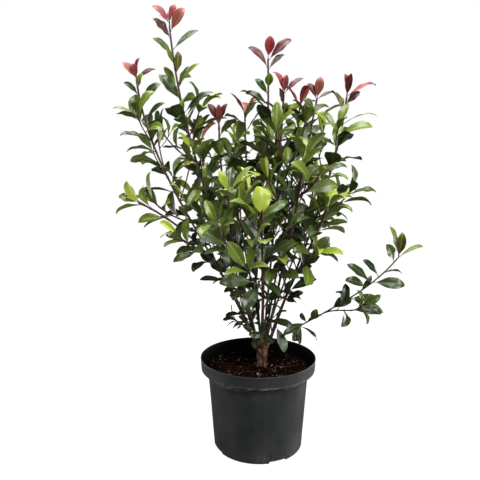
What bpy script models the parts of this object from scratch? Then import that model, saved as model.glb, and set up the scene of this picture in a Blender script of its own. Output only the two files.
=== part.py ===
"""Potted photinia: an evergreen shrub with many stems, in a black nursery pot.

Metres, +Z up. The origin is the middle of the pot's flat underside, and -Y is
the front of the plant. The pot and its soil carry a short trunk. One bough for
each shoot rises from the trunk's flat top and ends where its mass of foliage
starts. A mass is the shoot's own stem with forks, side twigs and leaves, all
grown by one seeded rule and joined into one solid.
"""

import math
import random
from collections import namedtuple

import bmesh
import bpy
from mathutils import Vector, kdtree
from mathutils.bvhtree import BVHTree

GAP = 0.0003
MERGE = 0.00001
SHARP_FROM = math.radians(40.0)
UP = Vector((0.0, 0.0, 1.0))

# Pot: a ten litre container with a deep rim band
POT_HEIGHT = 0.220
POT_FOOT_RADIUS = 0.104
POT_CORNER = 0.005
POT_WALL_RADIUS = 0.1235
POT_BAND_RADIUS = 0.143
POT_BAND_FOOT = 0.183
POT_BAND_SLOPE = 0.007
POT_WALL = 0.003
POT_FLOOR = 0.004
POT_LIP = 0.003
POT_LIP_CREST = 0.0018
POT_BAND_DRAFT = 0.0024
POT_SHOULDER_IN = 0.0066
POT_SHOULDER_DROP = 0.003
POT_SHOULDER_RISE = 0.002
POT_STEPS = 32
POT_TURN = math.radians(3.7)
DRAIN_WIDTH = 0.044
DRAIN_HEIGHT = 0.006
DRAIN_REACH = 0.020
DRAIN_TURN = math.radians(-66.0)
DRAINS = 4

# Soil: it fills the pot to the sloped shoulder inside the rim band
SOIL_EDGE = 0.1875
SOIL_SEAT = 0.1885
SOIL_SEAT_RADIUS = 0.022
SOIL_CLEARANCE = 0.0004
SOIL_MOUND = 0.0014
SOIL_MOUND_SHARE = 0.60
SOIL_ROLL = 0.0008
SOIL_ROLL_SHARE = 0.95

# Trunk: the old foot of the shrub, from a flat cut on the soil to its fork
TRUNK_FOOT = Vector((0.008, 0.018, SOIL_SEAT + GAP))
TRUNK_TOP = Vector((0.011, 0.020, 0.2260))
TRUNK_SIZES = (  # share of the height, radius
    (0.00, 0.0150),
    (0.14, 0.0122),
    (0.32, 0.0112),
    (0.52, 0.0132),
    (0.74, 0.0172),
    (0.90, 0.0200),
    (1.00, 0.0196),
)
TRUNK_SIDES = 12

# Boughs: they leave the trunk in a centre and two rings
RING_RADII = (0.0, 0.0080, 0.0158)
RING_PLACES = (1, 6, 11)
FOOT_RISE = 0.007
FOOT_PULL = 0.36
TIP_PULL = 0.34
BOUGH_RADIUS = 0.0012
BOUGH_RADIUS_GAIN = 0.0024
TIP_RADIUS = 0.0017
TAPER = 0.8
FOOT_SWELL = 1.08
CAP_RUN = 0.004
BOUGH_POINTS = 4
BOUGH_SIDES = 6
HALVINGS = 30

# Foliage: spacing, angles and sizes of the growing rule, with the shares of
# a size between which single twigs and leaves vary
STEM_POINTS = 8
TWIG_POINTS = 2
THREE_SIDED = 1.20
SPIRAL = math.radians(137.5)
TWIG_START = 0.030
TWIG_STEP = 0.070
STEP_VARIES = (0.85, 1.20)
TWIG_SHARE = 0.76
TWIG_REACH = 0.135
TWIG_REACH_VARIES = (0.75, 1.15)
TWIG_FADE = 0.45
TWIG_ANGLE = math.radians(48.0)
TWIG_LIFT = 0.8
TWIG_WANDER = 0.3
TWIG_RADIUS = 0.75
FORK_LIFT = 0.6
FORK_RADIUS = 0.85
CURVE_LEAVE = 0.4
CURVE_ARRIVE = 0.3
LEAF_START = 0.016
LEAF_STEP = 0.0210
LEAF_STEP_TWIG = 0.0190
LEAF_EVERY = 2
LEAF_WANDER = 0.25
LEAF_SKY = 0.35
LEAF_ROLL = 0.35
YOUNG_RUN = 0.11
YOUNG_SIDE = 0.7
CROWN_LEAVES = 3
CROWN_YOUNG = 0.8
CROWN_STEP = 0.0045
CROWN_INSET = 0.002
CROWN_RUN = 0.012
LEAF_LENGTH = 0.084
LEAF_LENGTH_YOUNG = 0.074
LEAF_LENGTH_VARIES = (0.85, 1.12)
LEAF_WIDTH = 0.49
LEAF_WIDTH_YOUNG = 0.37
LEAF_WIDTH_VARIES = (0.9, 1.1)
LEAF_PITCH = math.radians(46.0)
LEAF_PITCH_YOUNG = math.radians(26.0)
LEAF_PITCH_VARIES = (0.8, 1.15)
LEAF_BEND = math.radians(34.0)
LEAF_BEND_VARIES = (0.3, 1.4)
LEAF_FOLD = 0.16
LEAF_THICKNESS = 0.0018
LEAF_SINK = 0.0013
LEAF_STATIONS = (0.0, 0.34, 0.70, 1.0)
LEAF_SPREADS = (0.0, 0.84, 1.0, 0.0)
LEAF_RIDGE = 0.30
SPACE_SLACK = 0.022
SPACE_STEP = 0.015
SPACE_SHARE = 0.85
CLEARANCE = 0.0007
LOWEST_LEAF = 0.236
LOWEST_TWIG = 0.256
TWIG_ROOT = 0.012
BLADE_FROM = 0.22
LEAF_SEED = 500

Shoot = namedtuple("Shoot", "name tip foot_slope tip_slope leaves_from leaf_size seed forks")
Limb = namedtuple("Limb", "shoot points radii order bare")
BOUGH, STEM, FORK, TWIG = range(4)
Leaf = namedtuple("Leaf", "limb root along normal length width bend")

# Each shoot: tip, slopes outward for each metre up at its foot and its tip, the
# height of its lowest leaves, its leaves' size beside the usual one, its seed,
# and its forks (share of the stem where it leaves, tip, share of it with no leaves)
SHOOTS = (
    Shoot("leader_left", (-0.216, 0.020, 1.020), (-0.34, 0.04), (-0.10, 0.00), 0.42, 1.0, 148,
          ((0.34, (-0.152, 0.060, 0.778), 0.2),)),
    Shoot("far_left", (-0.292, -0.020, 0.900), (-0.36, -0.06), (-0.12, 0.02), 0.41, 0.9, 76,
          ((0.56, (-0.249, 0.010, 0.785), 0.1),)),
    Shoot("low_left", (-0.276, -0.100, 0.610), (-0.28, -0.18), (-2.00, -0.50), 0.40, 0.8, 95, ()),
    Shoot("mid_left", (-0.098, 0.050, 0.800), (-0.24, 0.10), (0.00, 0.00), 0.40, 1.0, 125,
          ((0.55, (-0.055, 0.085, 0.755), 0.2),)),
    Shoot("centre_leader", (0.026, 0.065, 0.965), (0.02, 0.14), (-0.02, 0.00), 0.42, 1.0, 203, ()),
    Shoot("centre_right", (0.058, -0.040, 0.862), (0.08, -0.10), (0.06, 0.00), 0.40, 1.0, 84,
          ((0.40, (0.105, -0.070, 0.790), 0.2),)),
    Shoot("right_inner", (0.148, 0.040, 0.862), (0.22, 0.06), (0.20, 0.00), 0.42, 1.0, 93, ()),
    Shoot("right_leader", (0.210, -0.020, 0.858), (0.30, -0.08), (0.12, 0.00), 0.42, 1.0, 84, ()),
    Shoot("right_mid", (0.150, -0.120, 0.600), (0.20, -0.26), (0.35, -0.15), 0.36, 0.9, 105, ()),
    Shoot("front_centre", (0.001, -0.200, 0.600), (0.02, -0.50), (0.00, -0.15), 0.400, 1.0, 18, ()),
    Shoot("front_left", (-0.071, -0.160, 0.640), (-0.16, -0.34), (0.00, -0.10), 0.37, 1.0, 25, ()),
    Shoot("front_right", (0.092, -0.150, 0.705), (0.14, -0.32), (0.10, -0.05), 0.40, 1.0, 90, ()),
    Shoot("low_right", (0.335, -0.040, 0.475), (1.30, -0.15), (0.80, 0.00), 0.262, 0.8, 54,
          ((0.34, (0.235, -0.100, 0.372), 0.2),)),
    Shoot("back_left", (-0.158, 0.200, 0.765), (-0.24, 0.36), (-0.10, 0.12), 0.40, 1.0, 82, ()),
    Shoot("back_centre", (-0.031, 0.200, 0.845), (-0.06, 0.32), (0.00, 0.08), 0.40, 1.0, 56, ()),
    Shoot("back_right", (0.121, 0.180, 0.860), (0.18, 0.28), (0.08, 0.08), 0.42, 1.0, 5, ()),
    Shoot("back_low_right", (0.160, 0.170, 0.640), (0.26, 0.30), (0.15, 0.15), 0.46, 0.95, 67, ()),
    Shoot("back_low", (-0.045, 0.275, 0.600), (-0.10, 0.60), (0.00, 0.30), 0.37, 0.95, 67, ()),
)


def mix(low, high, share):
    return low + (high - low) * share


def clear_scene():
    for item in list(bpy.data.objects):
        bpy.data.objects.remove(item, do_unlink=True)


def collection(name):
    made = bpy.data.collections.new(name)
    bpy.context.scene.collection.children.link(made)
    return made


def material(name, colour, roughness, metallic=0.0):
    made = bpy.data.materials.new(name)
    made.use_nodes = True
    shader = made.node_tree.nodes["Principled BSDF"]
    shader.inputs["Base Color"].default_value = (*colour, 1.0)
    shader.inputs["Roughness"].default_value = roughness
    shader.inputs["Metallic"].default_value = metallic
    return made


def turned(name, profile, steps, home):
    """Turn a profile of (radius, height) points about the Z axis.

    The facets are set round by POT_TURN, so that none lies along X or Y.
    """
    mesh = bpy.data.meshes.new(name)
    body = bmesh.new()
    points = [body.verts.new((radius, 0.0, height)) for radius, height in profile]
    for low, high in zip(points, points[1:]):
        body.edges.new((low, high))
    body.to_mesh(mesh)
    body.free()
    made = bpy.data.objects.new(name, mesh)
    home.objects.link(made)
    screw = made.modifiers.new("Turn", "SCREW")
    screw.steps = steps
    screw.render_steps = steps
    screw.use_merge_vertices = True
    screw.merge_threshold = 0.0001
    made.rotation_euler = (0.0, 0.0, POT_TURN)
    return made


def solid_tube(name, points, radii, sides, home):
    """Sweep a round or three-sided section along the points, with closed ends."""
    curve = bpy.data.curves.new(name, "CURVE")
    curve.dimensions = "3D"
    curve.use_fill_caps = True
    guide = None
    if sides == 3:
        guide = triangle_guide()
        curve.bevel_mode = "OBJECT"
        curve.bevel_object = guide
    else:
        curve.bevel_depth = 1.0
        curve.bevel_resolution = sides // 2 - 2
    spline = curve.splines.new("POLY")
    spline.points.add(len(points) - 1)
    for place, point, radius in zip(spline.points, points, radii):
        place.co = (*point, 1.0)
        place.radius = radius
    drawn = bpy.data.objects.new(name, curve)
    home.objects.link(drawn)
    depsgraph = bpy.context.evaluated_depsgraph_get()
    mesh = bpy.data.meshes.new_from_object(drawn.evaluated_get(depsgraph))
    bpy.data.objects.remove(drawn, do_unlink=True)
    if guide:
        bpy.data.objects.remove(guide, do_unlink=True)
    body = bmesh.new()
    body.from_mesh(mesh)
    bmesh.ops.remove_doubles(body, verts=body.verts, dist=MERGE)
    bmesh.ops.recalc_face_normals(body, faces=body.faces)
    body.to_mesh(mesh)
    body.free()
    mesh.name = name
    made = bpy.data.objects.new(name, mesh)
    home.objects.link(made)
    return made


def triangle_guide():
    """A unit triangle that three-sided twigs are swept from."""
    curve = bpy.data.curves.new("twig_section", "CURVE")
    curve.dimensions = "2D"
    spline = curve.splines.new("POLY")
    spline.points.add(2)
    for corner, place in enumerate(spline.points):
        angle = math.tau * corner / 3
        place.co = (THREE_SIDED * math.cos(angle), THREE_SIDED * math.sin(angle), 0.0, 1.0)
    spline.use_cyclic_u = True
    made = bpy.data.objects.new("twig_section", curve)
    bpy.context.scene.collection.objects.link(made)
    return made


def make_pot(home, cutters, finish):
    inner_foot = POT_FOOT_RADIUS + POT_CORNER - POT_WALL
    inner_wall = POT_WALL_RADIUS - POT_WALL
    band_inner = POT_BAND_RADIUS - POT_WALL - POT_LIP
    band_top = POT_BAND_FOOT + POT_BAND_SLOPE
    profile = (
        (0.0, POT_FLOOR),
        (inner_foot, POT_FLOOR),
        (inner_wall, POT_BAND_FOOT - POT_WALL),
        (band_inner, band_top),
        (POT_BAND_RADIUS - POT_WALL, POT_HEIGHT - POT_LIP),
        (POT_BAND_RADIUS - POT_LIP_CREST, POT_HEIGHT),
        (POT_BAND_RADIUS, POT_HEIGHT - POT_LIP),
        (POT_BAND_RADIUS - POT_BAND_DRAFT, band_top + POT_SHOULDER_RISE),
        (POT_BAND_RADIUS - POT_SHOULDER_IN, band_top - POT_SHOULDER_DROP),
        (POT_WALL_RADIUS, POT_BAND_FOOT),
        (POT_FOOT_RADIUS + POT_CORNER, POT_CORNER),
        (POT_FOOT_RADIUS, 0.0),
        (0.0, 0.0),
    )
    pot = turned("pot", profile, POT_STEPS, home)
    pot.data.materials.append(finish)
    for number in range(DRAINS):
        turn = DRAIN_TURN + math.tau * number / DRAINS
        pot_cut(pot, "drain_%d" % (number + 1), turn, cutters)
    return pot


def pot_cut(pot, name, turn, cutters):
    """Cut one low drain slot through the corner of the pot's foot."""
    bpy.ops.mesh.primitive_cube_add(size=1.0)
    cutter = bpy.context.active_object
    cutter.name = name
    for owner in list(cutter.users_collection):
        owner.objects.unlink(cutter)
    cutters.objects.link(cutter)
    middle = POT_FOOT_RADIUS + POT_CORNER
    size = Vector((2 * DRAIN_REACH, DRAIN_WIDTH, 2 * DRAIN_HEIGHT))
    for vertex in cutter.data.vertices:
        vertex.co = vertex.co * size
    cutter.location = (middle * math.cos(turn), middle * math.sin(turn), 0.0)
    cutter.rotation_euler = (0.0, 0.0, turn)
    cutter.hide_render = True
    cutter.display_type = "WIRE"
    cut = pot.modifiers.new(name, "BOOLEAN")
    cut.operation = "DIFFERENCE"
    cut.solver = "EXACT"
    cut.object = cutter


def make_soil(home, finish):
    inner_foot = POT_FOOT_RADIUS + POT_CORNER - POT_WALL
    inner_wall = POT_WALL_RADIUS - POT_WALL
    band_inner = POT_BAND_RADIUS - POT_WALL - POT_LIP
    shoulder = POT_BAND_FOOT - POT_WALL
    slope = (POT_BAND_FOOT + POT_BAND_SLOPE - shoulder) / (band_inner - inner_wall)
    edge = inner_wall + (SOIL_EDGE - shoulder) / slope - 2 * SOIL_CLEARANCE
    waist = inner_wall - SOIL_CLEARANCE
    low = POT_FLOOR + SOIL_CLEARANCE
    profile = (
        (0.0, SOIL_SEAT),
        (SOIL_SEAT_RADIUS, SOIL_SEAT),
        (SOIL_MOUND_SHARE * edge, SOIL_EDGE + SOIL_MOUND),
        (SOIL_ROLL_SHARE * edge, SOIL_EDGE + SOIL_ROLL),
        (edge, SOIL_EDGE),
        (waist, SOIL_EDGE - slope * (edge - waist)),
        (inner_foot - SOIL_CLEARANCE, low),
        (0.0, low),
    )
    soil = turned("soil", profile, POT_STEPS, home)
    soil.data.materials.append(finish)
    return soil


def make_trunk(home, finish):
    """The trunk leans between two upright ends, so that both cuts lie level."""
    points = [TRUNK_FOOT.lerp(TRUNK_TOP, share) for share, radius in TRUNK_SIZES]
    points[0].xy = points[1].xy
    points[-1].xy = points[-2].xy
    radii = [radius for share, radius in TRUNK_SIZES]
    trunk = solid_tube("trunk", points, radii, TRUNK_SIDES, home)
    trunk.data.materials.append(finish)
    return trunk


def outwardness(shoot):
    """How far a shoot leans out for each metre that it rises."""
    reach = Vector(shoot.tip) - TRUNK_TOP
    return reach.xy.length / reach.z


def bearing(shoot):
    reach = Vector(shoot.tip) - TRUNK_TOP
    return math.atan2(reach.y, reach.x)


def fork_places():
    """Give each shoot its foot on the trunk's flat top, upright shoots inside."""
    waiting = sorted(SHOOTS, key=outwardness)
    top = trunk_top()
    places = {}
    for ring_radius, count in zip(RING_RADII, RING_PLACES):
        ring = sorted(waiting[:count], key=bearing)
        waiting = waiting[count:]
        turns = [bearing(shoot) - math.tau * number / count for number, shoot in enumerate(ring)]
        turn = sum(turns) / len(turns)
        for number, shoot in enumerate(ring):
            angle = turn + math.tau * number / count
            spot = Vector((math.cos(angle), math.sin(angle), 0.0))
            places[shoot.name] = top + ring_radius * spot
    return places


def trunk_top():
    """The middle of the trunk's flat top, a gap above it."""
    share = TRUNK_SIZES[-2][0]
    return Vector((*TRUNK_FOOT.lerp(TRUNK_TOP, share).xy, TRUNK_TOP.z + GAP))


def bezier(corners, share):
    """The point and the direction at a share of a cubic curve."""
    a, b, c, d = corners
    rest = 1.0 - share
    point = rest**3 * a + 3 * rest**2 * share * b + 3 * rest * share**2 * c + share**3 * d
    slope = rest**2 * (b - a) + 2 * rest * share * (c - b) + share**2 * (d - c)
    return point, slope.normalized()


def stem_corners(shoot, foot):
    """The cubic that a shoot follows from the trunk to its tip."""
    tip = Vector(shoot.tip)
    start = foot + FOOT_RISE * UP
    reach = (tip - start).length
    leave = Vector((*shoot.foot_slope, 1.0)).normalized()
    arrive = Vector((*shoot.tip_slope, 1.0)).normalized()
    return start, start + FOOT_PULL * reach * leave, tip - TIP_PULL * reach * arrive, tip


def share_at_height(corners, height):
    """Halve the stretch of curve that holds the height until it is found."""
    low, high = 0.0, 1.0
    for step in range(HALVINGS):
        middle = (low + high) / 2
        if bezier(corners, middle)[0].z < height:
            low = middle
        else:
            high = middle
    return (low + high) / 2


def stem_radius(shoot, share):
    foot = BOUGH_RADIUS + BOUGH_RADIUS_GAIN * shoot.tip[2]
    return mix(foot, TIP_RADIUS, share**TAPER)


def plan_stem(shoot, foot):
    """Lay out a shoot's bough and the stem of its mass, end to end."""
    corners = stem_corners(shoot, foot)
    split = share_at_height(corners, shoot.leaves_from)
    end, heading = bezier(corners, split)
    radius = stem_radius(shoot, split)
    bough = [foot]
    bough_radii = [stem_radius(shoot, 0.0) * FOOT_SWELL]
    for number in range(BOUGH_POINTS):
        share = split * number / BOUGH_POINTS
        bough.append(bezier(corners, share)[0])
        bough_radii.append(stem_radius(shoot, share))
    bough += [end - CAP_RUN * heading, end]
    bough_radii += [radius, radius]
    start = end + GAP * heading
    stem = [start, start + CAP_RUN * heading]
    stem_radii = [radius, radius]
    for number in range(1, STEM_POINTS + 1):
        share = mix(split, 1.0, number / STEM_POINTS)
        stem.append(bezier(corners, share)[0])
        stem_radii.append(stem_radius(shoot, share))
    return Limb(shoot, bough, bough_radii, BOUGH, 0.0), Limb(shoot, stem, stem_radii, STEM, 0.0)


def limb_length(limb):
    return sum((b - a).length for a, b in zip(limb.points, limb.points[1:]))


def station(limb, distance):
    """The point, direction and radius at a distance along a limb."""
    for place, (a, b) in enumerate(zip(limb.points, limb.points[1:])):
        run = (b - a).length
        if distance <= run or place == len(limb.points) - 2:
            share = min(1.0, distance / run)
            radius = mix(limb.radii[place], limb.radii[place + 1], share)
            return a.lerp(b, share), (b - a).normalized(), radius
        distance -= run


def spoke(heading, turn):
    """A direction square to the heading, at a turn about it."""
    side = heading.cross(Vector((0.0, 1.0, 0.0))).normalized()
    other = heading.cross(side)
    return math.cos(turn) * side + math.sin(turn) * other


def curved_limb(shoot, start, leave, tip, arrive, radius, order, bare=0.0):
    reach = (tip - start).length
    corners = (
        start,
        start + CURVE_LEAVE * reach * leave,
        tip - CURVE_ARRIVE * reach * arrive,
        tip,
    )
    shares = [number / TWIG_POINTS for number in range(TWIG_POINTS + 1)]
    points = [bezier(corners, share)[0] for share in shares]
    radii = [mix(radius, min(radius, TIP_RADIUS), share) for share in shares]
    return Limb(shoot, points, radii, order, bare)


def plan_forks(shoot, stem):
    """The long forks of a shoot, each to a tip of its own."""
    length = limb_length(stem)
    forks = []
    for share, tip, bare in shoot.forks:
        root, heading, radius = station(stem, share * length)
        reach = (Vector(tip) - root).normalized()
        leave = (heading + reach).normalized()
        arrive = (reach + FORK_LIFT * UP).normalized()
        size = FORK_RADIUS * radius
        forks.append(curved_limb(shoot, root, leave, Vector(tip), arrive, size, FORK, bare))
    return forks


def plan_twigs(shoot, stem, rng):
    """Side twigs that leave the lower part of the stem in a spiral and turn up."""
    length = limb_length(stem)
    turn = rng.uniform(0.0, math.tau)
    distance = TWIG_START
    while distance < TWIG_SHARE * length:
        root, heading, radius = station(stem, distance)
        reach = TWIG_REACH * (1.0 - TWIG_FADE * distance / length)
        reach *= rng.uniform(*TWIG_REACH_VARIES)
        out = spoke(heading, turn)
        leave = (math.cos(TWIG_ANGLE) * heading + math.sin(TWIG_ANGLE) * out).normalized()
        arrive = (leave + TWIG_LIFT * UP).normalized()
        tip = root + reach * (leave + arrive) / 2
        yield curved_limb(shoot, root, leave, tip, arrive, TWIG_RADIUS * radius, TWIG)
        turn += SPIRAL + rng.uniform(-TWIG_WANDER, TWIG_WANDER)
        distance += TWIG_STEP * rng.uniform(*STEP_VARIES)


def plan_leaves(limb, rng):
    """Leaves in a spiral along a limb, younger and more upright to its tip.

    Each solid leaf stands for a pair, so every second place stays empty.
    """
    length = limb_length(limb)
    step = LEAF_STEP_TWIG if limb.order == TWIG else LEAF_STEP
    turn = rng.uniform(0.0, math.tau)
    distance = LEAF_START + limb.bare * length
    number = 0
    while distance < length - CROWN_RUN:
        young = YOUNG_SIDE * max(0.0, 1.0 - (length - distance) / YOUNG_RUN)
        leaf = make_leaf(limb, distance, turn, young, rng)
        if number % LEAF_EVERY == 0:
            yield leaf
        number += 1
        turn += SPIRAL + rng.uniform(-LEAF_WANDER, LEAF_WANDER)
        distance += step * rng.uniform(*STEP_VARIES)
    for left in reversed(range(CROWN_LEAVES)):
        young = mix(1.0, CROWN_YOUNG, left / (CROWN_LEAVES - 1))
        yield make_leaf(limb, length - CROWN_INSET - left * CROWN_STEP, turn, young, rng)
        turn += SPIRAL


def make_leaf(limb, distance, turn, young, rng):
    """One leaf: old ones stand out wide, young ones are small and upright."""
    root, heading, radius = station(limb, distance)
    out = spoke(heading, turn)
    pitch = mix(LEAF_PITCH, LEAF_PITCH_YOUNG, young) * rng.uniform(*LEAF_PITCH_VARIES)
    along = math.cos(pitch) * heading + math.sin(pitch) * out
    normal = math.sin(pitch) * heading - math.cos(pitch) * out
    normal = normal + LEAF_SKY * UP + rng.uniform(-LEAF_ROLL, LEAF_ROLL) * heading.cross(out)
    normal = (normal - normal.dot(along) * along).normalized()
    size = limb.shoot.leaf_size * rng.uniform(*LEAF_LENGTH_VARIES)
    length = mix(LEAF_LENGTH, LEAF_LENGTH_YOUNG, young) * size
    ratio = mix(LEAF_WIDTH, LEAF_WIDTH_YOUNG, young) * rng.uniform(*LEAF_WIDTH_VARIES)
    bend = LEAF_BEND * rng.uniform(*LEAF_BEND_VARIES)
    return Leaf(limb, root, along, normal, length, length * ratio, bend)


def leaf_point(leaf, share, spread, lift):
    """A point of a leaf whose midrib bends back as an arc of a circle."""
    turn = leaf.bend * share
    run = leaf.length * math.sin(turn) / leaf.bend
    drop = leaf.length * (1.0 - math.cos(turn)) / leaf.bend
    normal = math.cos(turn) * leaf.normal + math.sin(turn) * leaf.along
    side = leaf.normal.cross(leaf.along)
    half = 0.5 * leaf.width * spread
    rise = lift + LEAF_FOLD * abs(half)
    return leaf.root + run * leaf.along - drop * leaf.normal + half * side + rise * normal


def leaf_body(leaf, thickness, root_share=0.0):
    """A six-sided ball of twelve faces, drawn out into a folded blade."""
    body = bmesh.new()
    bmesh.ops.create_uvsphere(body, u_segments=6, v_segments=2, radius=1.0)
    last = len(LEAF_STATIONS) - 1
    for vertex in body.verts:
        if abs(vertex.co.z) > abs(vertex.co.x):
            share = mix(root_share, 1.0, LEAF_RIDGE)
            vertex.co = leaf_point(leaf, share, 0.0, math.copysign(thickness / 2, vertex.co.z))
            continue
        place = round(last * (1.0 + vertex.co.x) / 2)
        share = mix(root_share, 1.0, LEAF_STATIONS[place])
        side = math.copysign(LEAF_SPREADS[place], vertex.co.y)
        vertex.co = leaf_point(leaf, share, side, 0.0)
        if place == 0 and root_share == 0.0:
            vertex.co = leaf.root - LEAF_SINK * leaf.along
    return body


class Room:
    """What already stands in the crown, so that nothing new runs into it."""

    def __init__(self):
        self.items = []

    def add(self, whole, blade, points, piece, shoot):
        self.items.append((*ball_round(points), whole, blade, piece, shoot))

    def touches(self, whole, blade, points, host, shoot):
        """Test all of a piece against other shoots, and its blade against its own."""
        middle, reach = ball_round(points)
        for other, other_reach, other_whole, other_blade, piece, other_shoot in self.items:
            if (other - middle).length > reach + other_reach or piece is host:
                continue
            if shoot is not other_shoot and whole.overlap(other_whole):
                return True
            if shoot is other_shoot and blade.overlap(other_blade):
                return True
        return False


def ball_round(points):
    middle = sum(points, Vector()) / len(points)
    return middle, max((point - middle).length for point in points)


def limb_tree(limb, home, foot=0.0):
    """A search tree of a limb's tube, a little thicker than the limb."""
    points = list(limb.points)
    points[0] = station(limb, foot)[0]
    radii = [radius * THREE_SIDED + CLEARANCE for radius in limb.radii]
    shape = solid_tube("probe", points, radii, BOUGH_SIDES, home)
    tree = BVHTree.FromPolygons(
        [vertex.co.copy() for vertex in shape.data.vertices],
        [tuple(face.vertices) for face in shape.data.polygons],
    )
    bpy.data.objects.remove(shape, do_unlink=True)
    return tree


def leaf_tree(leaf, root_share):
    """A search tree of a leaf, a little thicker than the leaf, and its corners."""
    body = leaf_body(leaf, LEAF_THICKNESS + 2 * CLEARANCE, root_share)
    tree = BVHTree.FromBMesh(body)
    points = [vertex.co.copy() for vertex in body.verts]
    body.free()
    return tree, points


def grow(stems, boughs, home):
    """Grow every mass: limbs first, then leaves, and skip what finds no room."""
    room = Room()
    limbs = {shoot.name: [] for shoot in SHOOTS}
    forks = [fork for stem in stems for fork in plan_forks(stem.shoot, stem)]
    for limb in boughs + stems + forks:
        tree = limb_tree(limb, home)
        room.add(tree, tree, limb.points, limb, limb.shoot)
    for limb in stems + forks:
        limbs[limb.shoot.name].append(limb)
    for stem in stems:
        rng = random.Random(stem.shoot.seed)
        for twig in plan_twigs(stem.shoot, stem, rng):
            trees = limb_tree(twig, home), limb_tree(twig, home, TWIG_ROOT)
            low = twig.points[-1].z < LOWEST_TWIG
            if low or room.touches(*trees, twig.points, twig, twig.shoot):
                continue
            room.add(*trees, twig.points, twig, twig.shoot)
            limbs[stem.shoot.name].append(twig)
    return limbs, grow_leaves(limbs, room)


def grow_leaves(limbs, room):
    space = own_space(limbs)
    leaves = {name: [] for name in limbs}
    for name in limbs:
        rng = random.Random(limbs[name][0].shoot.seed + LEAF_SEED)
        for limb in limbs[name]:
            for leaf in plan_leaves(limb, rng):
                whole, points = leaf_tree(leaf, 0.0)
                blade, blade_points = leaf_tree(leaf, BLADE_FROM)
                low = min(point.z for point in points) < LOWEST_LEAF
                if low or not in_own_space(leaf, space):
                    continue
                if not room.touches(whole, blade, points, limb, limb.shoot):
                    room.add(whole, blade, points, leaf, limb.shoot)
                    leaves[name].append(leaf)
    return leaves


def own_space(limbs):
    """A search tree of places along all limbs, with the shoot that each is on."""
    places = []
    for name, group in limbs.items():
        for limb in group:
            length = limb_length(limb)
            steps = int(length / SPACE_STEP) + 1
            places += [(station(limb, length * n / steps)[0], name) for n in range(steps + 1)]
    tree = kdtree.KDTree(len(places))
    for number, (point, name) in enumerate(places):
        tree.insert(point, number)
    tree.balance()
    return tree, places


def in_own_space(leaf, space):
    """Whether a leaf's tip stays nearer to its own shoot than to any other."""
    tree, places = space
    tip = leaf_point(leaf, SPACE_SHARE, 0.0, 0.0)
    name = leaf.limb.shoot.name
    nearest = tree.find(tip)[2]
    own = min((point - tip).length for point, owner in places if owner == name)
    return own < nearest + SPACE_SLACK


def make_mass(name, limbs, leaves, home, finish):
    """Join a shoot's stem, forks, twigs and leaves into one solid."""
    parts = collection("parts_of_" + name)
    base = solid_tube(name, limbs[0].points, limbs[0].radii, 3, home)
    for limb in limbs[1:]:
        solid_tube("limb", limb.points, limb.radii, 3, parts)
    for leaf in leaves:
        body = leaf_body(leaf, LEAF_THICKNESS)
        mesh = bpy.data.meshes.new("leaf")
        body.to_mesh(mesh)
        body.free()
        parts.objects.link(bpy.data.objects.new("leaf", mesh))
    union = base.modifiers.new("Join", "BOOLEAN")
    union.operation = "UNION"
    union.solver = "EXACT"
    union.operand_type = "COLLECTION"
    union.collection = parts
    depsgraph = bpy.context.evaluated_depsgraph_get()
    mesh = bpy.data.meshes.new_from_object(base.evaluated_get(depsgraph))
    base.modifiers.remove(union)
    keep_outer_shell(mesh)
    base.data = mesh
    mesh.name = name
    mesh.materials.clear()
    mesh.materials.append(finish)
    for item in list(parts.objects):
        bpy.data.objects.remove(item, do_unlink=True)
    bpy.data.collections.remove(parts)
    return base


def keep_outer_shell(mesh):
    """Drop loose scraps and sealed hollows: all but the largest shell."""
    body = bmesh.new()
    body.from_mesh(mesh)
    unseen = set(body.verts)
    shells = []
    while unseen:
        front = [unseen.pop()]
        shell = list(front)
        while front:
            vertex = front.pop()
            for edge in vertex.link_edges:
                other = edge.other_vert(vertex)
                if other in unseen:
                    unseen.remove(other)
                    front.append(other)
                    shell.append(other)
        shells.append(shell)
    shells.sort(key=len)
    for shell in shells[:-1]:
        bmesh.ops.delete(body, geom=shell, context="VERTS")
    bmesh.ops.triangulate(body, faces=body.faces)
    body.to_mesh(mesh)
    body.free()


def smooth(made):
    made.data.shade_smooth()
    made.data.set_sharp_from_angle(angle=SHARP_FROM)


def main():
    clear_scene()
    home = collection("potted_photinia")
    cutters = collection("cutters")
    plastic = material("black_plastic", (0.022, 0.024, 0.026), 0.55)
    compost = material("bark_compost", (0.045, 0.022, 0.014), 0.95)
    bark = material("grey_brown_bark", (0.130, 0.085, 0.060), 0.80)
    green = material("glossy_leaf", (0.035, 0.095, 0.022), 0.38)

    make_pot(home, cutters, plastic)
    make_soil(home, compost)
    make_trunk(home, bark)

    places = fork_places()
    stems = []
    boughs = []
    for shoot in SHOOTS:
        bough, stem = plan_stem(shoot, places[shoot.name])
        boughs.append(bough)
        stems.append(stem)
        name = "bough_" + shoot.name
        made = solid_tube(name, bough.points, bough.radii, BOUGH_SIDES, home)
        made.data.materials.append(bark)

    limbs, leaves = grow(stems, boughs, home)
    for shoot in SHOOTS:
        name = "foliage_" + shoot.name
        make_mass(name, limbs[shoot.name], leaves[shoot.name], home, green)
    for made in home.objects:
        smooth(made)


if __name__ == "__main__":
    main()
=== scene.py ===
"""Looks of a potted photinia: leaves, stems with bark, compost and nursery pot.

Metres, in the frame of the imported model: +Z up, -Y to the front, and the origin
in the middle of the pot's underside. Limbs and masses grow by the rule that the
solids follow, with the same draws, and go on to finer leaves and sprigs.
"""

import math
import random
from collections import namedtuple

import bmesh
import bpy
import numpy as np
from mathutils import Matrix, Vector, kdtree, noise
from mathutils.bvhtree import BVHTree


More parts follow.
